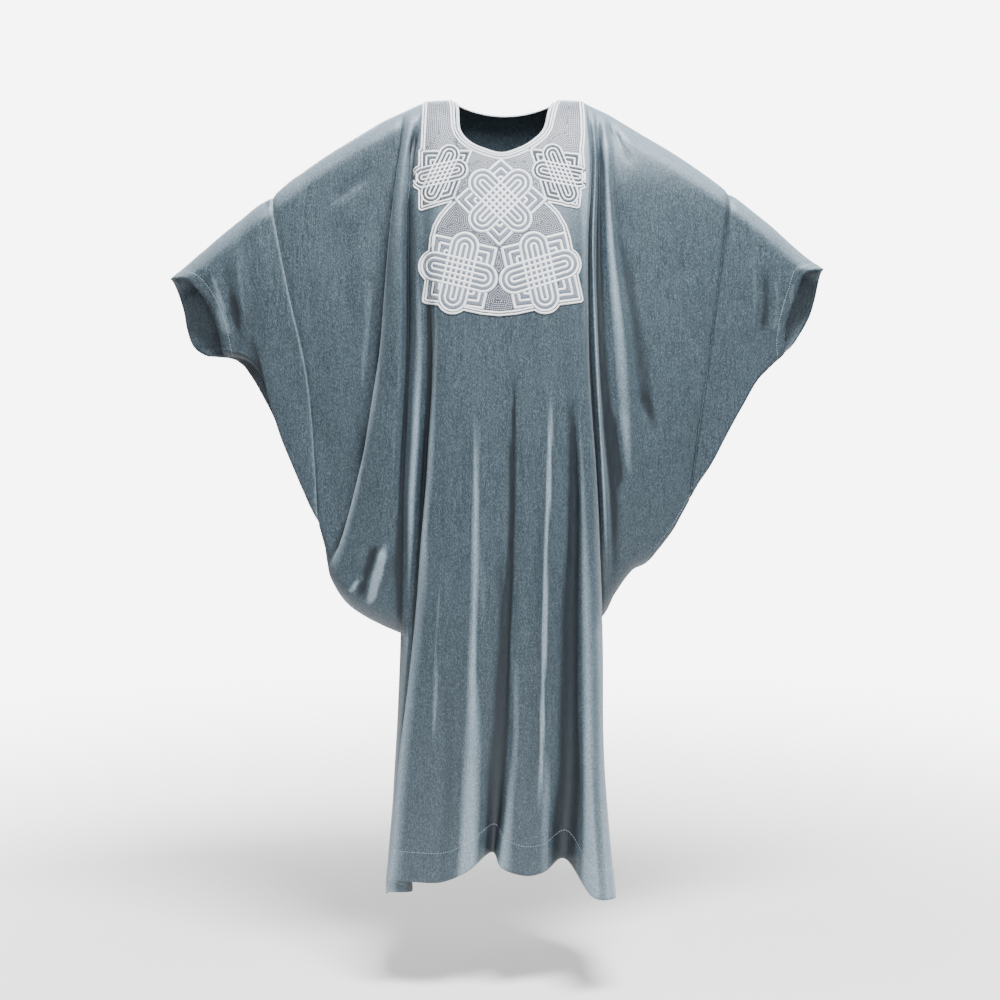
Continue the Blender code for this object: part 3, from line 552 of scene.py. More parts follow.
def front_body(upper_shares, hips):
    """Columns of the front between the side columns, from the neck to the hem."""
    columns = []
    for number, (_name, xs, depths, neck_z, hem_z) in enumerate(CENTRE):
        start_z, line_z = (shoulder_height(xs[0], TOP_LEFT if xs[0] < 0 else TOP_RIGHT),) * 2
        if neck_z:
            start_z, line_z = neck_z, 0
        hip_z = hips[0] + (hips[1] - hips[0]) * number / (len(CENTRE) - 1)
        upper = start_z + (hip_z - start_z) * upper_shares
        z = np.concatenate((upper, skirt_heights(hip_z, hem_z)))
        columns.append(np.column_stack((at_height(xs, z), at_height(depths, z), z, line_z - z)))
    return np.array(columns)


def back_body(upper_shares, hips, sides):
    """Columns of the back between the side columns, from the neck to the hem."""
    evenly = np.linspace(0, 1, BACK_COLUMNS + 1)
    neck_left, neck_right = TOP_LEFT[0][0], TOP_RIGHT[0][0]
    columns = []
    for share in (evenly + (1 - np.cos(math.pi * evenly)) / 2) / 2:
        x_top = sides[0][0] * (1 - share) + sides[1][0] * share
        line_z = start_z = shoulder_height(x_top, TOP_LEFT if x_top < 0 else TOP_RIGHT)
        if neck_left < x_top < neck_right:
            bow = (x_top - neck_left) / (neck_right - neck_left)
            start_z = -22 * math.sin(math.pi * bow) ** 0.7
        hip_z = hips[0] + (hips[1] - hips[0]) * share
        lower = skirt_heights(hip_z, BACK_HEM)
        z = np.concatenate((start_z + (hip_z - start_z) * upper_shares, lower))
        left = np.concatenate((sides[0], at_height(CENTRE[0][1], lower)))
        right = np.concatenate((sides[1], at_height(CENTRE[-1][1], lower)))
        below = smooth((hip_z + 70 - z) / 70)
        by_side = at_height(BACK_SIDE, z) * (1 - below)
        off = abs(2 * share - 1)
        bulge = (1 - off**2.2) * (1 - below) + (1 - off**3.2) ** (1 / 2.2) * below
        depth = by_side + (at_height(BACK_MIDDLE, z) - by_side) * bulge
        for _name, place, half_width, at_hip, at_hem in BACK_FOLDS:
            reach = math.exp(-(((share - place) / half_width) ** 2))
            depth = depth - reach * np.interp(-z, (150, 960, 1430), (0, at_hip, at_hem))
        columns.append(np.column_stack((left * (1 - share) + right * share, depth, z, line_z - z)))
    columns = np.array(columns)
    for number, column in enumerate(columns):
        share = number / BACK_COLUMNS
        end = 0 if share < 0.5 else -1
        near = 1 - smooth((min(share, 1 - share) - BACK_HEM_FLAT[end]) / 0.12)
        down = skirt_heights(hips[end], CENTRE[end][4])
        column[len(upper_shares):, 2] += near * (down - column[len(upper_shares):, 2])
    return columns


print("rows in the skirt", SKIRT_ROWS)

# %% [markdown]
# ## One skin for each face of the robe
# The two wings and the body share their columns at the hips. They are joined into one skin with
# one set of points, so that a fold pressed into the cloth runs on over the hip without a step.

# %% Join the grids
def make_skin(face):
    """Points, and for each grid the numbers of its points, of the front or the back."""
    lead = 1 if face == "front" else -1
    (left, seam_left), (right, seam_right) = wing("left", face), wing("right", face)
    rows, drop = left.shape[1], left[0, :, 3]
    hips = (left[0, -1, 2], right[0, -1, 2])
    if face == "front":
        body = front_body(drop / drop[-1], hips)
    else:
        body = back_body(drop / drop[-1], hips, (left[0, :, 0], right[0, :, 0]))
    for number, grid, hip_z, row in ((0, left, hips[0], CENTRE[0]), (-1, right, hips[1], CENTRE[-1])):
        body[number, :rows] = grid[0]
        z = skirt_heights(hip_z, row[4])
        body[number, rows:] = np.column_stack((at_height(row[1], z), 0 * z, z, -z))
    if face == "front":
        body = refine(body, SPAN_STEPS)
    numbers = {"body": np.arange(body.shape[0] * body.shape[1]).reshape(body.shape[:2])}
    points, count = [roll_over(body, lead).reshape(-1, 3)], body.shape[0] * body.shape[1]
    for side, grid, column in (("left", left, 0), ("right", right, -1)):
        own = np.arange((len(grid) - 1) * rows).reshape(-1, rows) + count
        numbers[side] = np.concatenate(([numbers["body"][column, :rows]], own))
        points.append(roll_over(grid, lead)[1:].reshape(-1, 3))
        count += own.size
    return {
        "face": face, "lead": lead, "numbers": numbers, "points": np.concatenate(points),
        "seams": {"left": seam_left, "right": seam_right}, "rows": rows,
    }


def quads(skin, part, first=0, last=None):
    """Faces of one grid between two of its columns, facing out."""
    numbers = skin["numbers"][part][first : None if last is None else last + 1]
    a, b, c, d = numbers[:-1, :-1], numbers[1:, :-1], numbers[1:, 1:], numbers[:-1, 1:]
    turned = (part == "left") != (skin["face"] == "back")
    order = (a, b, c, d) if turned else (a, d, c, b)
    return np.stack(order, axis=-1).reshape(-1, 4)


def find_normals(skin):
    """One normal out of the cloth at each point."""
    faces = np.concatenate([quads(skin, part) for part in skin["numbers"]])
    corners = skin["points"][faces]
    cross = np.cross(corners[:, 2] - corners[:, 0], corners[:, 3] - corners[:, 1])
    normals = np.zeros_like(skin["points"])
    for corner in range(4):
        np.add.at(normals, faces[:, corner], cross)
    skin["normals"] = normals / np.maximum(np.linalg.norm(normals, axis=1), 1e-12)[:, None]


front, back = make_skin("front"), make_skin("back")
for skin in (front, back):
    find_normals(skin)
    print(skin["face"], "has", len(skin["points"]), "points")

# %% [markdown]
# ## Creases
# Velvet also takes smaller folds: a soft pull at the armpit, ridges that run to the cuff, the
# crisp lines where a fold was ironed in. A simulation gives some of these, but not in their
# places. Each is a line in a table, with the height of its ridge (below zero for a trough) and
# its half width in millimetres. No two are alike, because no two are on a real robe.

# %% Crease tables
FRONT_CREASES = (
    # name, height, half width, x and z along it
    ("strap_trough", -5, 5, ((-149, -49), (-158, -97), (-161, -159))),
    ("strap_ridge", 4, 4, ((-159, -86), (-165, -135), (-169, -192))),
    ("body_left_ridge", 2.2, 4, ((-45, -492), (-44, -643), (-48, -767), (-51, -988), (-57, -1174))),
    ("middle_trough", -3.6, 3,
     ((26, -419), (19, -568), (18, -638), (14, -802), (9, -981), (2, -1174))),
    ("middle_ridge", 0.6, 3.5,
     ((33, -419), (28, -568), (26, -638), (23, -802), (16, -981), (9, -1174))),
    ("body_right_ridge", 5.5, 3.4,
     ((89, -480), (86, -538), (83, -655), (78, -774), (74, -981), (70, -1174), (63, -1311))),
    ("body_right_trough", -3, 9, ((124, -411), (129, -686), (126, -923), (125, -1177))),
    ("body_low_line", 1.6, 4, ((-110, -816), (-116, -977), (-123, -1177))),
    ("under_bib_left", 1.0, 5, ((-96, -411), (-102, -568), (-92, -656), (-97, -744))),
    ("under_bib_right", -1.2, 6, ((52, -397), (61, -498), (56, -585))),
    ("lobe_first", 8, 9, ((-210, -794), (-226, -854), (-243, -912))),
    ("lobe_second", 6, 7, ((-249, -855), (-276, -884))),
    ("lobe_trough", -4, 8, ((-224, -785), (-245, -843), (-266, -898))),
    ("arm_left_slope", -4, 9, ((-228, -127), (-267, -155), (-305, -181))),
    ("arm_left_upper", 3, 22, ((-208, -53), (-242, -105), (-267, -172), (-275, -250))),
    ("wing_left_long", 2.6, 26, ((-350, -224), (-323, -357), (-304, -518), (-295, -662))),
    ("wing_left_inner", 2.6, 22, ((-243, -232), (-248, -392), (-271, -572), (-297, -717))),
    ("wing_left_faint", -2, 20, ((-380, -392), (-355, -536), (-325, -662))),
    ("sleeve_left_one", 3, 14, ((-471, -249), (-464, -356), (-470, -437))),
    ("sleeve_left_two", 3.4, 10, ((-528, -289), (-504, -374), (-483, -446))),
    ("sleeve_left_three", -3, 12, ((-499, -276), (-482, -365), (-476, -437))),
    ("sleeve_left_four", 2.4, 17, ((-433, -225), (-426, -308), (-421, -410), (-408, -486))),
    ("wing_right_soft", -6, 15, ((193, -549), (204, -628), (217, -705))),
    ("arm_right_trough", -5, 7, ((185, -41), (200, -60), (214, -85), (230, -123))),
    ("arm_right_ridge", 4, 13, ((174, -56), (194, -107), (212, -173), (219, -220))),
    ("wing_right_trough", -5, 24, ((216, -225), (242, -377), (272, -546), (298, -607))),
    ("wing_right_ridge", 2, 28, ((263, -180), (289, -357), (319, -499), (335, -589))),
    ("wing_right_faint", -2.4, 22, ((310, -251), (325, -375), (360, -471))),
    ("wing_right_foot", -3, 15, ((244, -508), (279, -584), (299, -661))),
    ("wing_right_out", 2.4, 22, ((418, -357), (395, -437), (357, -527), (339, -590))),
    ("sleeve_right_one", 3, 15, ((447, -267), (453, -356), (447, -437))),
    ("sleeve_right_two", 3, 12, ((488, -299), (497, -376), (487, -437))),
    ("sleeve_right_three", -3, 13, ((468, -289), (475, -365), (467, -432))),
    ("sleeve_right_four", 3, 9, ((513, -299), (518, -356), (513, -401))),
)
BACK_CREASES = (
    ("shoulder_left", 5, 18, ((-120, -40), (-98, -180), (-104, -380), (-120, -560))),
    ("shoulder_right", 5, 19, ((128, -46), (112, -210), (104, -420), (118, -640))),
    ("under_neck", -3, 20, ((-20, -60), (-12, -240), (-26, -420))),
    ("middle_long", 4, 9, ((36, -300), (44, -620), (30, -940), (24, -1240))),
    ("left_long", -4, 11, ((-74, -420), (-86, -760), (-92, -1080), (-110, -1330))),
    ("right_long", 4.5, 8, ((108, -560), (120, -820), (118, -1120), (130, -1320))),
    ("arm_left_slope", -4, 10, ((-212, -96), (-262, -138), (-318, -176))),
    ("arm_right_slope", -4, 11, ((206, -92), (256, -140), (300, -186))),
    ("wing_left_first", 6, 20, ((-200, -110), (-214, -320), (-244, -560), (-282, -760))),
    ("wing_left_second", -5, 20, ((-250, -130), (-270, -330), (-300, -540), (-316, -690))),
    ("wing_left_third", 3, 24, ((-330, -210), (-336, -400), (-330, -600))),
    ("wing_right_first", 6, 19, ((196, -100), (212, -300), (236, -540), (262, -740))),
    ("wing_right_second", -5, 21, ((252, -140), (268, -340), (292, -520), (306, -660))),
    ("wing_right_third", 3, 22, ((322, -190), (340, -380), (344, -560))),
    ("sleeve_left_one", 3, 15, ((-470, -248), (-468, -340), (-462, -430))),
    ("sleeve_left_two", -3, 13, ((-520, -286), (-512, -360), (-500, -436))),
    ("sleeve_right_one", 3, 15, ((452, -250), (456, -350), (450, -440))),
    ("sleeve_right_two", -3, 13, ((506, -280), (510, -350), (500, -420))),
)
print("creases", len(FRONT_CREASES), "in front and", len(BACK_CREASES), "behind")

# %% Press the creases in
# Ripples: width and length of the wave and its height, in millimetres
RIPPLES = ((61, 900, 0.4), (37, 520, 0.22), (23, 310, 0.12), (88, 240, 0.35))


def distance_to_line(places, line):
    """How far each place is from a line, and the share of the line's length where that is."""
    line = np.asarray(line, float)
    lengths = lengths_along(line)
    best, share = np.full(len(places), np.inf), np.zeros(len(places))
    for i in range(len(line) - 1):
        run = line[i + 1] - line[i]
        t = np.clip(((places - line[i]) @ run) / (run @ run), 0, 1)
        far = np.linalg.norm(places - line[i] - t[:, None] * run, axis=1)
        nearer = far < best
        best[nearer] = far[nearer]
        share[nearer] = (lengths[i] + t[nearer] * (lengths[i + 1] - lengths[i])) / lengths[-1]
    return best, share


def press_creases(skin, creases):
    """Move the cloth along its normals into soft ridges and troughs that fade out at both ends."""
    places = skin["points"][:, (0, 2)] / MM
    lift = np.zeros(len(places))
    for _name, height, half_width, line in creases:
        line = along(line, np.linspace(0, 1, 14))
        far, share = distance_to_line(places, line)
        fade = smooth(share / 0.25) * smooth((1 - share) / 0.25)
        lift += height * np.exp(-((far / half_width) ** 2)) * fade
    skin["points"] += skin["normals"] * lift[:, None] * MM


def let_ripple(skin, phase):
    """Long uneven ripples that run down the cloth, as no cloth hangs quite straight."""
    x, _y, z = (skin["points"] / MM).T
    ripple = 0
    for width, length, height in RIPPLES:
        ripple = ripple + height * np.sin(x * math.tau / width + z * math.tau / length + phase * width)
    ripple = ripple * (0.6 + 0.4 * np.sin(z / 170 + x / 90 + phase))
    free = smooth((-z - 60) / 120)
    skin["points"] += skin["normals"] * (ripple * free)[:, None] * MM


press_creases(front, FRONT_CREASES)
press_creases(back, BACK_CREASES)
let_ripple(front, 1.3)
let_ripple(back, 4.1)
for skin in (front, back):
    find_normals(skin)
    spans = [round(float(side), 3) for side in np.ptp(skin["points"], axis=0)]
    print(skin["face"], "now spans", spans, "m")

# %% [markdown]
# ## Seams and hems in the cloth
# A sewn seam pulls the cloth in by a millimetre or two and puckers it a little. A turned-up hem
# is double, so it stands out, with a step at the line of stitches. Both could be painted as a
# line, but only real relief catches the light from every side.

# %% Shape the seams and hems
HEM_DEPTH = 55
CUFF_DEPTH = 18


def sleeve_seam_lines(skin):
    return {
        side: skin["points"][skin["numbers"][side][skin["seams"][side]]] for side in ("left", "right")
    }


def sink_seams(skin):
    """Pull the cloth in along each sleeve seam, with small puckers across it."""
    for line in sleeve_seam_lines(skin).values():
        far, share = distance_to_line(skin["points"] / MM, line[::3] / MM)
        length = lengths_along(line)[-1] / MM
        groove = -1.6 * np.exp(-((far / 3.0) ** 2))
        pucker = 0.7 * np.sin(share * length * math.tau / 17) * np.exp(-((far / 9) ** 2))
        top_pull = -3 * np.exp(-((far / 9) ** 2)) * smooth((0.16 - share) / 0.12)
        skin["points"] += skin["normals"] * (groove + pucker + top_pull)[:, None] * MM


def raise_hems(skin):
    """Let the turned-up hem and cuffs stand out by their second layer."""
    body = skin["numbers"]["body"]
    edge = skin["points"][body[:, -1]]
    up = (skin["points"][body] - edge[:, None])[..., 2] / MM
    step = 0.9 * smooth((HEM_DEPTH - up) / 2.5) - 0.7 * np.exp(-(((up - HEM_DEPTH) / 2.2) ** 2))
    skin["points"][body] += skin["normals"][body] * step[..., None] * MM
    for side in ("left", "right"):
        grid = skin["numbers"][side][skin["seams"][side] :]
        far, _share = distance_to_line(skin["points"][grid.ravel()] / MM, skin["points"][grid[-1]][::3] / MM)
        step = 0.8 * smooth((CUFF_DEPTH - far) / 2.5) - 0.6 * np.exp(-(((far - CUFF_DEPTH) / 2) ** 2))
        moved = skin["normals"][grid.ravel()] * step[:, None] * MM
        skin["points"][grid.ravel()] += moved


for skin in (front, back):
    sink_seams(skin)
    raise_hems(skin)
    find_normals(skin)
    seam_lengths = [round(float(lengths_along(line)[-1]), 3) for line in sleeve_seam_lines(skin).values()]
    print(skin["face"], "sleeve seams", seam_lengths, "m")

# %% [markdown]
# ## Crests and grooves, for painted highlight and painted shade
# The finish paints a highlight onto the crests of the folds, and paints shade into the grooves
# that makes them look almost black. A noise can't know where the folds are. Here each point is
# compared with the mean of the points beside it: a point in front of them is on a crest, and one
# behind them is in a groove. The number is kept with the mesh, and the finish paints its
# highlight and shade from it.

# %% Find crests and grooves
WIDE_REACH, NARROW_REACH = 6, 2
# In millimetres: how far a point stands behind its neighbours before it counts, and a full measure
WIDE_GROOVE = (2, 8)
NARROW_GROOVE = (0.3, 2.5)
# The same for a point that stands in front of them
CREST = (0.5, 2.6)
# One sleeve seam gets a painted highlight like a crest, and the other painted shade like a groove
SEAM_PAINTED_LIGHT = (("left", -0.5), ("right", 0.25))


def beside(places, reach):
    """Mean of the places up to reach columns away, run twice for a soft edge."""
    for _round in range(2):
        padded = np.concatenate((places[:1].repeat(reach, 0), places, places[-1:].repeat(reach, 0)))
        sums = np.concatenate((np.zeros((1, *places.shape[1:])), np.cumsum(padded, axis=0)))
        places = (sums[2 * reach + 1 :] - sums[: -2 * reach - 1]) / (2 * reach + 1)
    return places


def find_folds(skin):
    """For each point of the cloth, above 0 in a groove and below 0 on a crest."""
    skin["fold"] = np.zeros(len(skin["points"]))
    left, body, right = (skin["numbers"][part] for part in ("left", "body", "right"))
    rows = skin["rows"]
    for grid in (np.concatenate((left[:0:-1], body[:, :rows], right[1:])), body[:, rows - 1 :]):
        places, normals = skin["points"][grid] / MM, skin["normals"][grid]
        wide = np.einsum("ijk,ijk->ij", beside(places, WIDE_REACH) - places, normals)
        narrow = np.einsum("ijk,ijk->ij", beside(places, NARROW_REACH) - places, normals)
        groove = np.maximum(wide - WIDE_GROOVE[0], 0) / WIDE_GROOVE[1]
        groove = groove + np.maximum(narrow - NARROW_GROOVE[0], 0) / NARROW_GROOVE[1]
        crest = np.minimum(narrow + CREST[0], 0) / CREST[1]
        skin["fold"][grid] = np.clip(groove + crest, -1, 1)
    # Painted highlight on one sleeve seam and painted shade on the other
    for side, value in SEAM_PAINTED_LIGHT:
        skin["fold"][skin["numbers"][side][skin["seams"][side]]] = value


for skin in (front, back):
    find_folds(skin)
    grooves, crests = int((skin["fold"] > 0.3).sum()), int((skin["fold"] < -0.3).sum())
    print(skin["face"], "has", grooves, "points in grooves and", crests, "on crests")

# %% [markdown]
# ## Velvet
# Velvet is a plain woven ground with a dense upright pile. Seen straight on, one looks down into
# the pile and it is deep in colour. Sheen in the shader gives only a little of the velvet's light,
# so the rest is painted into its colour: a painted sheen where the cloth turns away from the eye,
# a painted highlight where it faces up towards the top lamp and on the crests of its folds, and
# painted shade that darkens its grooves almost to black.
# The pile also leans a little unevenly, in long streaks down the cloth, and a fine grain of tufts
# breaks up the light.
# A photograph of velvet wrapped round the robe would slide and stretch on the folds, so colour,
# streaks and grain are made from noise that is read in the robe's own space.

# %% Node helpers
def add_node(tree, kind, inputs=(), **settings):
    node = tree.nodes.new(kind)
    for name, value in settings.items():
        setattr(node, name, value)
    for socket, value in dict(inputs).items():
        if isinstance(value, bpy.types.NodeSocket):
            tree.links.new(value, node.inputs[socket])
        else:
            node.inputs[socket].default_value = value
    return node


def stretched_noise(tree, stretch, scale, detail, roughness=0.6):
    """Noise in the robe's space, stretched by its mapping. Its factor is the output."""
    place = add_node(tree, "ShaderNodeTexCoord").outputs["Object"]
    mapped = add_node(tree, "ShaderNodeMapping", {"Vector": place, "Scale": stretch})
    noise = add_node(tree, "ShaderNodeTexNoise", {
        "Vector": mapped.outputs["Vector"], "Scale": scale, "Detail": detail, "Roughness": roughness,
    })
    return noise.outputs["Fac"]


def spread(tree, value, low, high, to_low=0.0, to_high=1.0):
    """Stretch a factor from low..high to to_low..to_high, and hold it there."""
    node = add_node(tree, "ShaderNodeMapRange", {
        "Value": value, "From Min": low, "From Max": high, "To Min": to_low, "To Max": to_high,
    })
    return node.outputs["Result"]


def mixed(tree, factor, one, two):
    """Mix two colours."""
    node = add_node(tree, "ShaderNodeMix", data_type="RGBA")
    for socket, value in ((node.inputs[0], factor), (node.inputs[6], one), (node.inputs[7], two)):
        if isinstance(value, bpy.types.NodeSocket):
            tree.links.new(value, socket)
        else:
            socket.default_value = value
    return node.outputs[2]


def arithmetic(tree, operation, one, two):
    return add_node(tree, "ShaderNodeMath", {0: one, 1: two}, operation=operation).outputs[0]

# %% The velvet's finish
# The darkest colour is painted shade, for the grooves of the folds
VELVET_PAINTED_SHADE = (0.004, 0.007, 0.010, 1)
VELVET_DEEP = (0.010, 0.018, 0.025, 1)
VELVET_MID = (0.026, 0.042, 0.054, 1)
# The pale colour is painted sheen and highlight, and also the colour of pale tufts
VELVET_PALE_SHEEN_AND_TUFTS = (0.30, 0.39, 0.46, 1)
# Painted sheen where the cloth turns away, painted highlight on faces that look up and on crests, and
# painted shade in grooves
# Each range: from low, to high, and what these become
PAINTED_SHEEN_TURNED_AWAY = (0.35, 0.97, 0.0, 0.26)
NOT_BELOW = (-0.6, -0.1, 0.0, 1.0)
PAINTED_TOP_LIGHT = (0.06, 0.7, 0.0, 0.44)
PAINTED_CREST_HIGHLIGHT = (-0.12, -0.8, 0.0, 0.6)
PAINTED_GROOVE_SHADE = (0.05, 0.7, 0.0, 0.95)
TUFT_SHADE = (0.3, 0.7, 0.4, 1.4)
PALE_TUFTS = (0.47, 0.72, 0.0, 0.26)
ROUGHNESS = (0.3, 0.7, 0.36, 0.54)


def velvet_finish(name):
    """Slate-blue velvet with streaked pile, painted sheen and highlights, and painted shade in grooves."""
    material = bpy.data.materials.new(name)
    material.use_nodes = True
    tree = material.node_tree
    shader = tree.nodes["Principled BSDF"]
    streaks = stretched_noise(tree, (1, 1, 0.10), 300, 4)
    tufts = stretched_noise(tree, (1, 1, 0.4), 640, 3, 0.75)
    clouds = stretched_noise(tree, (1, 1, 0.5), 12, 3)
    tone = mixed(tree, spread(tree, streaks, 0.32, 0.70), VELVET_DEEP, VELVET_MID)
    tone = mixed(tree, spread(tree, clouds, 0.35, 0.7, 0.0, 0.5), tone, VELVET_MID)
    turned = add_node(tree, "ShaderNodeLayerWeight", {"Blend": 0.3}).outputs["Facing"]
    own_normal = add_node(tree, "ShaderNodeTexCoord").outputs["Normal"]
    upward = add_node(tree, "ShaderNodeSeparateXYZ", {0: own_normal}).outputs["Z"]
    # Painted sheen where the cloth turns away from the eye, and painted highlight where it faces up towards
    # the top lamp and on the crests of folds
    painted_sheen_and_highlight = arithmetic(tree, "MULTIPLY", spread(tree, turned, *PAINTED_SHEEN_TURNED_AWAY),
                      spread(tree, upward, *NOT_BELOW))
    painted_sheen_and_highlight = arithmetic(tree, "ADD", painted_sheen_and_highlight, spread(tree, upward, *PAINTED_TOP_LIGHT))
    fold = add_node(tree, "ShaderNodeAttribute", attribute_name="fold").outputs["Fac"]
    painted_sheen_and_highlight = arithmetic(tree, "ADD", painted_sheen_and_highlight, spread(tree, fold, *PAINTED_CREST_HIGHLIGHT))
    painted_sheen_and_highlight = arithmetic(tree, "MULTIPLY", painted_sheen_and_highlight, spread(tree, tufts, *TUFT_SHADE))
    tone = mixed(tree, painted_sheen_and_highlight, tone, VELVET_PALE_SHEEN_AND_TUFTS)
    tone = mixed(tree, spread(tree, tufts, *PALE_TUFTS), tone, VELVET_PALE_SHEEN_AND_TUFTS)
    # Painted shade in the grooves of the folds
    tone = mixed(tree, spread(tree, fold, *PAINTED_GROOVE_SHADE), tone, VELVET_PAINTED_SHADE)
    tree.links.new(tone, shader.inputs["Base Color"])
    rough = spread(tree, streaks, *ROUGHNESS)
    tree.links.new(rough, shader.inputs["Roughness"])
    shader.inputs["Specular IOR Level"].default_value = 0.6
    shader.inputs["Specular Tint"].default_value = (0.82, 0.92, 1.0, 1)
    shader.inputs["Sheen Weight"].default_value = 0.12
    shader.inputs["Sheen Roughness"].default_value = 0.3
    shader.inputs["Sheen Tint"].default_value = (0.80, 0.88, 0.94, 1)
    relief = arithmetic(tree, "ADD", arithmetic(tree, "MULTIPLY", streaks, 0.7), tufts)
    bump = add_node(tree, "ShaderNodeBump", {"Height": relief, "Strength": 0.6, "Distance": 0.0010})
    tree.links.new(bump.outputs["Normal"], shader.inputs["Normal"])
    return material


velvet = velvet_finish("slate_velvet")
print("velvet has", len(velvet.node_tree.nodes), "nodes")

# %% [markdown]
# ## The six pieces of velvet
# The front, the back and the four sleeve extensions are separate pieces of cloth, as they are cut.
# Each is a single skin with a thickness, so it stays open at the neck, the cuffs and the hem.
# Each replaces the solid of the same piece.

# %% Make the cloth pieces
WALL = 1.4 * MM


def cloth(name, skin, faces, node):
    """A piece of cloth from some faces of a skin. It gives back the piece and its area."""
    used, small = np.unique(faces, return_inverse=True)
    points = skin["points"][used]
    piece = make_piece(name, points, small.reshape(faces.shape), velvet)
    folds = piece.data.attributes.new("fold", "FLOAT", "POINT")
    folds.data.foreach_set("value", skin["fold"][used].astype(np.float32))
    thick = piece.modifiers.new("thickness", "SOLIDIFY")
    thick.thickness, thick.offset = WALL, -1
    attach(piece, "root")
    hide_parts(node)
    corners = skin["points"][faces]
    crossed = np.cross(corners[:, 2] - corners[:, 0], corners[:, 3] - corners[:, 1])
    return piece, float(np.linalg.norm(crossed, axis=1).sum() / 2)


for skin in (front, back):
    faces = [quads(skin, "body")]
    for side in ("left", "right"):
        seam = skin["seams"][side]
        faces.append(quads(skin, side, 0, seam))
        name = f"sleeve_{side}_{skin['face']}"
        piece, area = cloth(name + "_velvet", skin, quads(skin, side, seam), name)
    name = f"{skin['face']}_panel"
    piece, area = cloth(f"{skin['face']}_velvet", skin, np.concatenate(faces), name)

# %% [markdown]
# ## The chart of the bib
# The bib is dense embroidery of a traditional kind: five interlaced knots on a ground of small
# stitches, with a double white line round the whole. Traced from a picture, it would be a
# tangle of points. An embroiderer draws it on squared paper with ruler and compass, and so does
# this notebook: a knot is two crossed loops over a square, in nested lines at one pitch.
# The chart is flat, in millimetres, and is laid on the cloth afterwards. It reaches a little
# above the shoulder line, because the cloth rolls over there.

# %% The knots
KNOTS = (
    # name, centre, up axis and half length, right axis and half length, pitch of the lines,
    # four corners of the square
    ("middle", (-3, -186), (0.707, 0.707), 44, (0.707, -0.707), 44, 9.0,
     ((-2, -114), (76, -184), (-5, -263), (-80, -184))),
    ("low_left", (-75.4, -310), (0.229, 0.973), 45, (0.970, -0.242), 43.5, 9.4,
     ((-117, -246), (-10, -270), (-34, -373), (-135, -358))),
    ("low_right", (65, -309.5), (-0.216, 0.976), 45, (0.957, 0.291), 46, 9.4,
     ((0, -269), (110, -242), (136, -357), (23, -372))),
    ("up_left", (-108.4, -137.4), (0.425, 0.905), 37, (0.98, 0.198), 31, 6.9,
     ((-141, -97), (-54, -98), (-85, -181), (-141, -196))),
    ("up_right", (102.5, -137.9), (-0.36, 0.933), 38, (0.985, -0.17), 32, 6.8,
     ((50, -95), (136, -103), (131, -193), (76, -182))),
)
YOKE = (
    (-141, 40), (-142, -36), (-144, -93), (-148, -120), (-150, -158), (-141, -190), (-116, -175),
    (-88, -185), (-40, -200), (40, -200), (79, -185), (107, -176), (132, -186), (142, -152),
    (146, -126), (144, -95), (148, -62), (146, -10), (146, 40),
)
ARCH = (
    (-86, -183), (-99, -196), (-111, -210), (-121, -228), (-127, -250), (-129, -275), (-132, -320),
    (-136, -359), (-113, -366), (-64, -378), (-36, -384), (-5, -387), (26, -384), (54, -378),
    (101, -366), (138, -359), (130, -320), (124, -273), (120, -250), (113, -228), (101, -207),
    (91, -196), (78, -184), (0, -150),
)
BORDER = 6.4
LOOP_LINES = (2.5, 1.5, 0.5)
LOOP_BANDS = (2, 1, 0)
print("knots", len(KNOTS))

# %% [markdown]
# ## Distances on the chart
# A border that keeps its distance from every knot, and rows of stitches that follow each other
# like the rings of a tree, would be hard to draw as lines. They are easy as a map: every place on
# the chart gets its distance from the nearest edge, and a row is where that number is constant.

# %% Distances from shapes
CHART = {"left": -168, "right": 162, "low": -402, "top": 30}
chart_x, chart_z = np.meshgrid(
    np.arange(CHART["left"], CHART["right"] + 1.0), np.arange(CHART["low"], CHART["top"] + 1.0),
    indexing="ij",
)
chart = np.stack((chart_x, chart_z), axis=-1)


def from_segment(places, one, two):
    """Distance of places from a straight line between two points."""
    one, run = np.asarray(one, float), np.subtract(two, one)
    share = np.clip((places - one) @ run / (run @ run), 0, 1)
    return np.linalg.norm(places - one - share[..., None] * run, axis=-1)


def from_shape(places, corners):
    """Distance from a closed shape with straight sides, below zero inside it."""
    corners = np.asarray(corners, float)
    far, inside = np.inf, np.zeros(places.shape[:-1], bool)
    for one, two in zip(corners, np.roll(corners, -1, axis=0)):
        far = np.minimum(far, from_segment(places, one, two))
        if one[1] != two[1]:
            x = one[0] + (places[..., 1] - one[1]) * (two[0] - one[0]) / (two[1] - one[1])
            between = (places[..., 1] > min(one[1], two[1])) & (places[..., 1] <= max(one[1], two[1]))
            inside ^= between & (places[..., 0] < x)
    return np.where(inside, -far, far)


def from_loops(places, knot):
    """Distances from the middle lines of a knot's two loops."""
    _name, centre, up, up_half, right, right_half, _pitch, _corners = knot
    centre, up, right = (np.array(item, float) for item in (centre, up, right))
    return (
        from_segment(places, centre - up * up_half, centre + up * up_half),
        from_segment(places, centre - right * right_half, centre + right * right_half),
    )


def from_knot(places, knot):
    """Distance from a knot's outermost line, below zero inside the knot."""
    first, second = from_loops(places, knot)
    reach = 2.5 * knot[6]
    return np.minimum(np.minimum(first, second) - reach, from_shape(places, knot[7]))


print("the chart is", chart.shape[0], "mm wide and", chart.shape[1], "mm high")

# %% The bib's own shape
ROLL_SPARE = TOP_ROLL * (math.pi / 2 - 1)


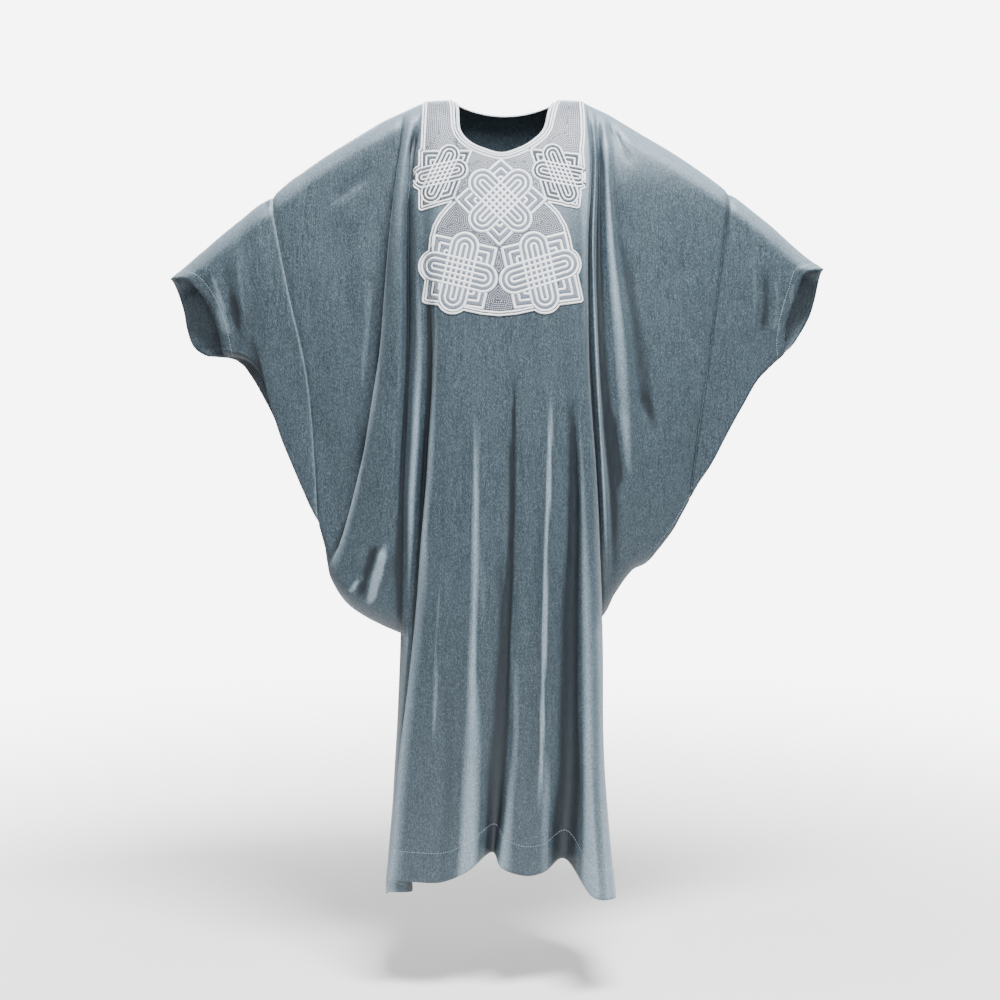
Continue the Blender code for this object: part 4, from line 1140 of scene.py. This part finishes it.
def chart_height(x, z):
    """Height on the chart of a place on the robe: the rolled cloth is laid flat."""
    drop = np.clip(shoulder_at(x) - z, 0, None)
    rolled = TOP_ROLL * np.arccos(np.clip(1 - drop / TOP_ROLL, 0, 1))
    flat = np.where(drop < TOP_ROLL, rolled, drop + ROLL_SPARE)
    return ROLL_SPARE + shoulder_at(x) - flat


def shoulder_at(x):
    return np.where(x < 0, shoulder_height(x, TOP_LEFT), shoulder_height(x, TOP_RIGHT))


neck_row = front["points"][front["numbers"]["body"][:, 0]] / MM
neck_row = neck_row[(neck_row[:, 0] > TOP_LEFT[0][0] - 0.1) & (neck_row[:, 0] < TOP_RIGHT[0][0] + 0.1)]
neck_chart = np.column_stack((neck_row[:, 0], chart_height(neck_row[:, 0], neck_row[:, 2])))
neck_shape = [(neck_chart[0, 0], 60), *neck_chart[::2], (neck_chart[-1, 0], 60)]
knot_edge = np.min([from_knot(chart, knot) for knot in KNOTS], axis=0)
edge = np.min([from_shape(chart, YOKE), from_shape(chart, ARCH), knot_edge - BORDER], axis=0)
edge = np.maximum(edge, 0.4 - from_shape(chart, neck_shape))
shoulder_chart = ROLL_SPARE + shoulder_at(chart_x) - 1.5
edge = np.maximum(edge, chart_z - shoulder_chart)
edge = np.maximum(edge, np.maximum(-157 - chart_x, chart_x - 147))
print("the bib covers", round(float((edge < 0).sum()) / 1e6, 4), "square metres of the chart")

# %% Rows of constant distance
def even_steps(line, step, closed=False):
    """The same line with points about step apart."""
    line = np.asarray(line, float)
    if closed:
        line = np.concatenate((line, line[:1]))
    knots = lengths_along(line)
    count = max(2, int(round(knots[-1] / step)) + 1)
    places = np.linspace(0, knots[-1], count)
    even = np.column_stack([np.interp(places, knots, line[:, axis]) for axis in range(line.shape[1])])
    return even[:-1] if closed else even


def rows_at(field, level, step=2.0):
    """Lines on the chart where field passes level, each with a sign whether it is closed."""
    value = field - level
    low = value < 0
    deep = value.shape[1]
    total = value.size
    places, links = {}, {}

    def crossing(i, j, across):
        key = i * deep + j + (0 if across else total)
        if key not in places:
            one, two = value[i, j], value[i + across, j + 1 - across]
            share = one / (one - two)
            places[key] = (chart_x[i, j] + share * across, chart_z[i, j] + share * (1 - across))
        return key

    mixed_cells = (low[:-1, :-1] != low[1:, :-1]) | (low[:-1, :-1] != low[:-1, 1:])
    mixed_cells |= low[:-1, :-1] != low[1:, 1:]
    for i, j in np.argwhere(mixed_cells):
        found = []
        if low[i, j] != low[i + 1, j]:
            found.append(crossing(i, j, 1))
        if low[i + 1, j] != low[i + 1, j + 1]:
            found.append(crossing(i + 1, j, 0))
        if low[i, j + 1] != low[i + 1, j + 1]:
            found.append(crossing(i, j + 1, 1))
        if low[i, j] != low[i, j + 1]:
            found.append(crossing(i, j, 0))
        for one, two in zip(found[::2], found[1::2]):
            links.setdefault(one, []).append(two)
            links.setdefault(two, []).append(one)
    lines, seen = [], set()
    for start in sorted(links, key=lambda key: (len(links[key]), key)):
        if start in seen:
            continue
        walk, here = [], start
        while here is not None:
            seen.add(here)
            walk.append(places[here])
            here = next((key for key in links[here] if key not in seen), None)
        closed = len(links[start]) == 2
        if len(walk) > 3:
            lines.append((even_steps(walk, step, closed), closed))
    return lines


border_rows = rows_at(edge, -1.7) + rows_at(edge, -BORDER)
print("border lines", len(border_rows))

# %% [markdown]
# ## Laying the chart on the cloth
# The chart could be projected straight back onto the front, but then it would stretch where the
# cloth rolls over the shoulder. So every place on the chart is taken to its own height on the
# robe first, and from there straight back until it meets the velvet.

# %% Find the cloth under the chart
def find_cloth():
    """Places and normals of the cloth under the chart, in millimetres."""
    faces = np.concatenate([quads(front, part) for part in front["numbers"]])
    cloth_tree = BVHTree.FromPolygons(front["points"].tolist(), faces.tolist())
    flat_drop = np.clip(ROLL_SPARE + shoulder_at(chart_x) - chart_z, 0, None)
    rolled = TOP_ROLL * (1 - np.cos(np.clip(flat_drop / TOP_ROLL, 0, math.pi / 2)))
    drop = np.where(flat_drop < TOP_ROLL * math.pi / 2, rolled, flat_drop - ROLL_SPARE)
    height = shoulder_at(chart_x) - np.maximum(drop, 0.3)
    depth = np.full(chart_x.shape, np.nan)
    back_way = Vector((0, 1, 0))
    for i, j in np.argwhere(edge < 8):
        start = Vector((chart_x[i, j] * MM, -0.4, height[i, j] * MM))
        hit = cloth_tree.ray_cast(start, back_way, 0.45)[0]
        if hit is not None:
            depth[i, j] = hit.y / MM
    for _round in range(24):
        around = np.stack([np.roll(depth, move, axis) for move in (-1, 1) for axis in (0, 1)])
        known = np.isfinite(around)
        mean = np.where(known, around, 0).sum(axis=0) / np.maximum(known.sum(axis=0), 1)
        depth = np.where(np.isnan(depth) & known.any(axis=0), mean, depth)
    depth = np.nan_to_num(depth)
    for _round in range(2):
        middle = depth[1:-1, 1:-1]
        around = depth[:-2, 1:-1] + depth[2:, 1:-1] + depth[1:-1, :-2] + depth[1:-1, 2:]
        depth[1:-1, 1:-1] = middle * 0.5 + around * 0.125
    surface = np.stack((chart_x, depth, height), axis=-1)
    normal = np.cross(np.gradient(surface, axis=0), np.gradient(surface, axis=1))
    return surface, normal / np.maximum(np.linalg.norm(normal, axis=-1), 1e-9)[..., None]


under_chart, under_normal = find_cloth()


def on_cloth(places, lift):
    """Places on the chart taken to the cloth and lifted off it, and the normals there."""
    places = np.asarray(places, float)
    u = np.clip(places[:, 0] - CHART["left"], 0, chart_x.shape[0] - 1.001)
    v = np.clip(places[:, 1] - CHART["low"], 0, chart_x.shape[1] - 1.001)
    i, j = u.astype(int), v.astype(int)
    s, t = (u - i)[:, None], (v - j)[:, None]
    weights = ((1 - s) * (1 - t), s * (1 - t), (1 - s) * t, s * t)
    corners = ((i, j), (i + 1, j), (i, j + 1), (i + 1, j + 1))
    place = sum(w * under_chart[c] for w, c in zip(weights, corners))
    normal = sum(w * under_normal[c] for w, c in zip(weights, corners))
    normal /= np.maximum(np.linalg.norm(normal, axis=1), 1e-9)[:, None]
    return place + normal * np.reshape(lift, (-1, 1)), normal


def read_chart(field, places):
    """Read a number of the chart at any places."""
    i = np.clip(np.round(places[:, 0] - CHART["left"]).astype(int), 0, chart_x.shape[0] - 1)
    j = np.clip(np.round(places[:, 1] - CHART["low"]).astype(int), 0, chart_x.shape[1] - 1)
    return field[i, j]


print("the bib stands out to", round(float(-under_chart[..., 1].min())), "mm before the shoulder line")

# %% [markdown]
# ## Thread
# Satin stitch is many short strokes side by side across the line. Drawing every stroke would take
# millions of faces. Here each line is one low rounded ridge, and its strokes are fine grooves in
# the bump, which follow the line because each point knows how far along the thread it is.

# %% Thread finishes
def thread_finish(name, colour, dark_tone_and_shade, strokes=True):
    """Embroidery thread of one colour that varies towards a darker one at random, with painted shade in the
    grooves between its strokes.
    """
    material = bpy.data.materials.new(name)
    material.use_nodes = True
    tree = material.node_tree
    shader = tree.nodes["Principled BSDF"]
    patches = stretched_noise(tree, (1, 1, 1), 260, 2)
    tone = mixed(tree, spread(tree, patches, 0.35, 0.7, 0.0, 0.7), colour, dark_tone_and_shade)
    fuzz = stretched_noise(tree, (1, 1, 1), 2600, 2)
    relief = fuzz
    if strokes:
        place = add_node(tree, "ShaderNodeUVMap", uv_map="along").outputs["UV"]
        wave = add_node(tree, "ShaderNodeTexWave", {
            "Vector": place, "Scale": 0.45, "Distortion": 1.2, "Detail": 1.0,
        }, bands_direction="X")
        # Painted shade in the grooves between the strokes
        tone = mixed(tree, spread(tree, wave.outputs["Fac"], 0.0, 0.35, 0.45, 0.0), tone, dark_tone_and_shade)
        relief = arithmetic(tree, "ADD", wave.outputs["Fac"], arithmetic(tree, "MULTIPLY", fuzz, 0.5))
    tree.links.new(tone, shader.inputs["Base Color"])
    shader.inputs["Roughness"].default_value = 0.5
    shader.inputs["Sheen Weight"].default_value = 0.25
    shader.inputs["Sheen Roughness"].default_value = 0.4
    bump = add_node(tree, "ShaderNodeBump", {"Height": relief, "Strength": 0.55, "Distance": 0.0005})
    tree.links.new(bump.outputs["Normal"], shader.inputs["Normal"])
    return material


white_thread = thread_finish("white_thread", (0.90, 0.91, 0.94, 1), (0.74, 0.76, 0.81, 1))
grey_thread = thread_finish("grey_thread", (0.15, 0.18, 0.23, 1), (0.10, 0.125, 0.165, 1))
dark_thread = thread_finish("dark_thread", (0.040, 0.052, 0.075, 1), (0.020, 0.030, 0.045, 1))
ground_thread = thread_finish("ground_thread", (0.60, 0.62, 0.67, 1), (0.34, 0.37, 0.42, 1), False)
ground_cloth = thread_finish("ground_cloth", (0.055, 0.068, 0.090, 1), (0.035, 0.045, 0.062, 1), False)
print("thread finishes 5")

# %% Lay threads
SEAT = 0.9
PROFILE = ((-0.5, 0.0), (-0.34, 0.75), (0.0, 1.0), (0.34, 0.75), (0.5, 0.0))


class Threads:
    """Gathers ridges of thread and makes one piece of them."""

    def __init__(self):
        self.points, self.faces, self.along, self.count, self.length = [], [], [], 0, 0.0

    def lay(self, line, width, height, closed=False, seat=SEAT):
        """Lay one ridge of thread along a line on the chart."""
        place, normal = on_cloth(line, seat)
        if closed:
            run = np.roll(place, -1, axis=0) - np.roll(place, 1, axis=0)
        else:
            run = np.gradient(place, axis=0)
        side = np.cross(normal, run)
        side /= np.maximum(np.linalg.norm(side, axis=1), 1e-9)[:, None]
        tall = np.full(len(line), height)
        if not closed:
            tall[[0, -1]] *= 0.3
        rings = np.stack(
            [place + side * off * width + normal * (tall * up)[:, None] for off, up in PROFILE], axis=1
        )
        far = lengths_along(place)
        numbers = np.arange(rings.shape[0] * 5).reshape(-1, 5) + self.count
        if closed:
            numbers = np.concatenate((numbers, numbers[:1]))
        a, b, c, d = numbers[:-1, :-1], numbers[:-1, 1:], numbers[1:, 1:], numbers[1:, :-1]
        self.faces.append(np.stack((a, b, c, d), axis=-1).reshape(-1, 4))
        self.points.append(rings.reshape(-1, 3) * MM)
        self.along.append(np.stack(np.broadcast_arrays(far[:, None], np.arange(5)[None]), -1).reshape(-1, 2))
        self.count += rings.shape[0] * 5
        self.length += far[-1]

    def lay_where(self, line, keep, width, height, seat=SEAT):
        """Lay the parts of a line where keep is true."""
        keep = np.concatenate(([False], keep, [False]))
        starts, ends = np.flatnonzero(~keep[:-1] & keep[1:]), np.flatnonzero(keep[:-1] & ~keep[1:])
        for start, end in zip(starts, ends):
            if end - start > 1:
                self.lay(line[start:end], width, height, seat=seat)

    def piece(self, name, material):
        item = make_piece(
            name, np.concatenate(self.points), np.concatenate(self.faces), material,
            np.concatenate(self.along),
        )
        print(name, "holds", round(self.length / 1000, 1), "metres of thread")
        return item

# %% [markdown]
# ## Laying the knots
# A knot's loops are ovals: two straight sides and two round ends. Where the two loops cross, all
# the white lines run on, and leave a lattice of small grey squares. The nested corners of the
# square end where a loop begins.

# %% Ovals and corners
def oval(centre, axis, half, reach, step=1.6):
    """A closed line round a straight middle line, reach away from it."""
    centre, axis = np.asarray(centre, float), np.asarray(axis, float)
    off = np.array((-axis[1], axis[0]))
    turn = np.linspace(-math.pi / 2, math.pi / 2, 25)[:, None]
    far_end = centre + axis * half + reach * (np.cos(turn) * axis + np.sin(turn) * off)
    near_end = centre - axis * half - reach * (np.cos(turn) * axis + np.sin(turn) * off)
    return even_steps(np.concatenate((far_end, near_end)), step, closed=True)


def corner_lines(corners, inset):
    """The four sides of a shape moved in by inset, as one closed line."""
    corners = np.asarray(corners, float)
    runs = np.roll(corners, -1, axis=0) - corners
    runs /= np.linalg.norm(runs, axis=1)[:, None]
    inward = np.column_stack((runs[:, 1], -runs[:, 0]))
    moved = []
    for number, corner in enumerate(corners):
        one, two = inward[number - 1], inward[number]
        moved.append(corner + inset * np.linalg.solve(np.array((one, two)), (1, 1)))
    return np.array(moved)


BORDER_LINE = (3.1, 1.0)
BAND_HEIGHT = 0.5
INSIDE_BIB = -1.2
white, grey, dark = Threads(), Threads(), Threads()
for line, closed in border_rows:
    clear = np.abs(read_chart(knot_edge, line)) > 1.6
    if clear.all() and closed:
        white.lay(line, *BORDER_LINE, closed=True)
    else:
        white.lay_where(np.concatenate((line, line[:1])) if closed else line,
                        np.append(clear, clear[0]) if closed else clear, *BORDER_LINE)
for knot in KNOTS:
    name, centre, up, up_half, right, right_half, pitch, corners = knot
    bands = dark if name.startswith("up") else grey
    line_width, band_width = pitch * 0.46, pitch * 0.6
    others = np.min([from_knot(chart, other) for other in KNOTS if other is not knot], axis=0)
    for axis, half, mine in ((up, up_half, 0), (right, right_half, 1)):
        for share in LOOP_LINES:
            line = oval(centre, axis, half, share * pitch)
            keep = (read_chart(edge, line) < INSIDE_BIB) & (read_chart(others, line) > -1)
            line, keep = np.concatenate((line, line[:1])), np.append(keep, keep[0])
            white.lay_where(line, keep, line_width, 1.15, seat=SEAT + 0.05 * mine)
        for share in LOOP_BANDS:
            line = oval(centre, axis, half, max(share * pitch, 0.4))
            crossed = from_loops(line, knot)[1 - mine]
            keep = (read_chart(edge, line) < INSIDE_BIB) & (read_chart(others, line) > 0)
            if mine == 0:
                keep &= crossed > 2.4 * pitch
            line, keep = np.concatenate((line, line[:1])), np.append(keep, keep[0])
            bands.lay_where(line, keep, band_width if share else pitch * 0.5, BAND_HEIGHT)
    gap = 1.12 * pitch if name != "middle" else 1.2 * pitch
    for number in range(6):
        square = corner_lines(corners, number * gap / 2 + 0.2)
        line = even_steps(square, 1.2, closed=True)
        first, second = from_loops(line, knot)
        keep = np.minimum(first, second) > (2.55 if number % 2 else 2.7) * pitch
        keep &= read_chart(others, line) > -1
        keep &= read_chart(edge, line) < INSIDE_BIB
        line, keep = np.concatenate((line, line[:1])), np.append(keep, keep[0])
        if number % 2:
            bands.lay_where(line, keep, band_width, BAND_HEIGHT)
        else:
            white.lay_where(line, keep, line_width, 1.05)
print("white lines laid", round(white.length / 1000, 1), "m")

# %% [markdown]
# ## The ground of small stitches
# Between the knots the bib is filled with short stitches in rows that echo the lines round them.
# One bump texture for all of it would show no rows. Here each stitch is a tiny ridge of its own,
# set along rows of constant distance, with every second row shifted by half a stitch.

# %% Ground stitches
ROW_GAP = 3.3
STITCH_GAP = 3.4
GROUND_STITCH = {"length": 2.7, "width": 1.7, "height": 0.9}


def stitch_shapes(places, runs, normals, length, width, height):
    """Low ridges with four faces each, at places in millimetres."""
    runs = runs / np.maximum(np.linalg.norm(runs, axis=1), 1e-9)[:, None]
    side = np.cross(normals, runs)
    points = np.stack((
        places - runs * length / 2, places + side * width / 2, places + runs * length / 2,
        places - side * width / 2, places + normals * height,
    ), axis=1)
    first = (np.arange(len(places)) * 5)[:, None, None]
    faces = np.array(((1, 0, 4), (2, 1, 4), (3, 2, 4), (0, 3, 4)))[None] + first
    return points.reshape(-1, 3) * MM, faces.reshape(-1, 3)


ground = np.maximum(edge + BORDER + 1.4, 2.0 - knot_edge)
rows, number = [], 0
while True:
    level = -0.5 - number * ROW_GAP
    found = rows_at(ground, level, STITCH_GAP)
    if not found:
        break
    for line, closed in found:
        if number % 2 and len(line) > 2:
            line = (line[:-1] + line[1:]) / 2
        if len(line) > 2:
            rows.append((line, np.gradient(line, axis=0)))
    number += 1
spots = np.concatenate([line for line, _run in rows])
ways = np.concatenate([run for _line, run in rows])
near_neck = from_shape(spots, neck_shape) < BORDER + 6
ways[near_neck] = np.column_stack((-ways[near_neck, 1], ways[near_neck, 0]))
stitch_place, stitch_normal = on_cloth(spots, SEAT)
stitch_run = on_cloth(spots + ways * 0.3, SEAT)[0] - on_cloth(spots - ways * 0.3, SEAT)[0]
stitch_points, stitch_faces = stitch_shapes(stitch_place, stitch_run, stitch_normal, **GROUND_STITCH)
print("ground rows", number, "with", len(spots), "stitches")

# %% The cloth of the bib and all its threads
GROUND_WALL = 0.8


def bib_ground():
    """The plate of close stitches that everything lies on, cut to the bib's shape."""
    points, edges = [], []
    for line, closed in rows_at(edge, -0.1, 1.8):
        first = len(points)
        points += [Vector(place) for place in line]
        count = len(line)
        edges += [(first + i, first + (i + 1) % count) for i in range(count if closed else count - 1)]
    spaced = np.zeros(chart_x.shape, bool)
    spaced[::6, ::3] = True
    spaced[3::6, 1::3] = True
    inner = spaced & (edge < -1.5)
    points += [Vector(place) for place in chart[inner]]
    flat, _edges, faces = geometry.delaunay_2d_cdt(points, edges, [], 1, 0.01)[:3]
    flat = np.array([tuple(place) for place in flat])
    place, _normal = on_cloth(flat, SEAT)
    return place * MM, [tuple(face) for face in faces]


ground_points, ground_faces = bib_ground()
ground_piece = make_piece("bib_ground", ground_points, ground_faces, ground_cloth)
thick = ground_piece.modifiers.new("thickness", "SOLIDIFY")
thick.thickness, thick.offset = GROUND_WALL * MM, -1
bib_pieces = [
    white.piece("bib_white_lines", white_thread),
    grey.piece("bib_grey_bands", grey_thread),
    dark.piece("bib_dark_bands", dark_thread),
    make_piece("bib_ground_stitches", stitch_points, stitch_faces, ground_thread),
]
for piece in (ground_piece, *bib_pieces):
    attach(piece, "root")
    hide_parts("bib_embroidery")
corners = ground_points[np.array([face[:3] for face in ground_faces])]
crossed = np.cross(corners[:, 1] - corners[:, 0], corners[:, 2] - corners[:, 0])

# %% [markdown]
# ## The neck binding
# The neck opening is bound with a narrow rolled edge, wrapped closely with thread. A plain tube
# would look like wire. The roll is flatter than it is round, and lies just inside the opening,
# where the front and the back end.

# %% Binding round the neck
BINDING_WIDTH = 6
BINDING_THICK = 3
BINDING_IN = 1.2


def neck_ring():
    """The line round the neck opening, in the middle of the cloth, in millimetres."""
    line = []
    for skin in (front, back):
        tops = skin["numbers"]["body"][:, 0]
        place = skin["points"][tops]
        inside = (place[:, 0] > (TOP_LEFT[0][0] - 0.1) * MM) & (place[:, 0] < (TOP_RIGHT[0][0] + 0.1) * MM)
        place = (place - skin["normals"][tops] * WALL / 2)[inside] / MM
        line.append(place if skin is front else place[::-1])
    return even_steps(np.concatenate(line), 2.0, closed=True)


ring = neck_ring()
for _round in range(2):
    ring = (np.roll(ring, 1, axis=0) + 2 * ring + np.roll(ring, -1, axis=0)) / 4
run = np.roll(ring, -1, axis=0) - np.roll(ring, 1, axis=0)
run /= np.linalg.norm(run, axis=1)[:, None]
inward = ring.mean(axis=0) - ring
inward -= run * np.einsum("ij,ij->i", inward, run)[:, None]
inward /= np.linalg.norm(inward, axis=1)[:, None]
upward = np.cross(inward, run)
SIDES = 14
rings = np.stack([
    ring + inward * (BINDING_WIDTH / 2 * (1 - math.cos(turn)) + BINDING_IN)
    + upward * BINDING_THICK / 2 * math.sin(turn)
    for turn in np.arange(SIDES) * math.tau / SIDES
], axis=1)
numbers = np.arange(len(ring) * SIDES).reshape(-1, SIDES)
onward, round_by = np.roll(numbers, -1, axis=0), np.roll(numbers, -1, axis=1)
binding_faces = np.stack((numbers, onward, np.roll(onward, -1, axis=1), round_by), axis=-1).reshape(-1, 4)
far = lengths_along(ring)
binding_along = np.stack(np.broadcast_arrays(far[:, None], np.arange(SIDES)[None]), -1).reshape(-1, 2)
binding_thread = thread_finish("binding_thread", (0.70, 0.73, 0.78, 1), (0.46, 0.50, 0.56, 1))
binding = make_piece(
    "neck_roll", rings.reshape(-1, 3) * MM, binding_faces, binding_thread, binding_along
)
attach(binding, "root")
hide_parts("neck_binding")
print("binding is", round(float(far[-1])), "mm round")

# %% [markdown]
# ## Sewn lines
# The hem, the cuffs and the turned side seam of one wing are stitched down, and the stitches sit
# in a slight groove. They could be painted on, but real ones are threads that catch the light,
# so each is a small ridge, set along a line that keeps its distance from the edge of the cloth.

# %% Rows of sewing
SEWN_STITCH = {"length": 3.2, "width": 0.9, "height": 0.5}
WING_FOOT_IN = 3


def inset_line(skin, columns, distance):
    """Places and normals at a distance in from the first point of each column of points."""
    place, normal = [], []
    for column in columns:
        points = skin["points"][column] / MM
        far = lengths_along(points)
        if far[-1] < distance:
            continue
        share = np.interp(distance, far, np.arange(len(far)))
        i, part = min(int(share), len(far) - 2), share - min(int(share), len(far) - 2)
        place.append(points[i] * (1 - part) + points[i + 1] * part)
        normal.append(skin["normals"][column[i]])
    return np.array(place), np.array(normal)


def sewn_line(place, normal, gap=4.4):
    """Stitches of even length along a line of places."""
    both = even_steps(np.column_stack((place, normal)), gap)
    spots, normals = both[:, :3], both[:, 3:]
    normals /= np.linalg.norm(normals, axis=1)[:, None]
    return spots + normals * 0.25, np.gradient(spots, axis=0), normals


sewing = []
for skin in (front, back):
    body = skin["numbers"]["body"]
    sewing.append(sewn_line(*inset_line(skin, body[:, ::-1], HEM_DEPTH)))
    for side in ("left", "right"):
        sleeve = skin["numbers"][side][skin["seams"][side] :]
        sewing.append(sewn_line(*inset_line(skin, sleeve[::-1].T, CUFF_DEPTH)))
wing_foot = front["numbers"]["right"][SPAN_STEPS : front["seams"]["right"], ::-1]
sewing.append(sewn_line(*inset_line(front, wing_foot, WING_FOOT_IN)))
spots, runs, normals = (np.concatenate(items) for items in zip(*sewing))
sewn_points, sewn_faces = stitch_shapes(spots, runs, normals, **SEWN_STITCH)
sewing_thread = thread_finish("sewing_thread", (0.42, 0.50, 0.55, 1), (0.28, 0.36, 0.42, 1), False)
sewn = make_piece("hem_and_cuff_sewing", sewn_points, sewn_faces, sewing_thread)
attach(sewn, "root")
print("sewn stitches", len(spots))
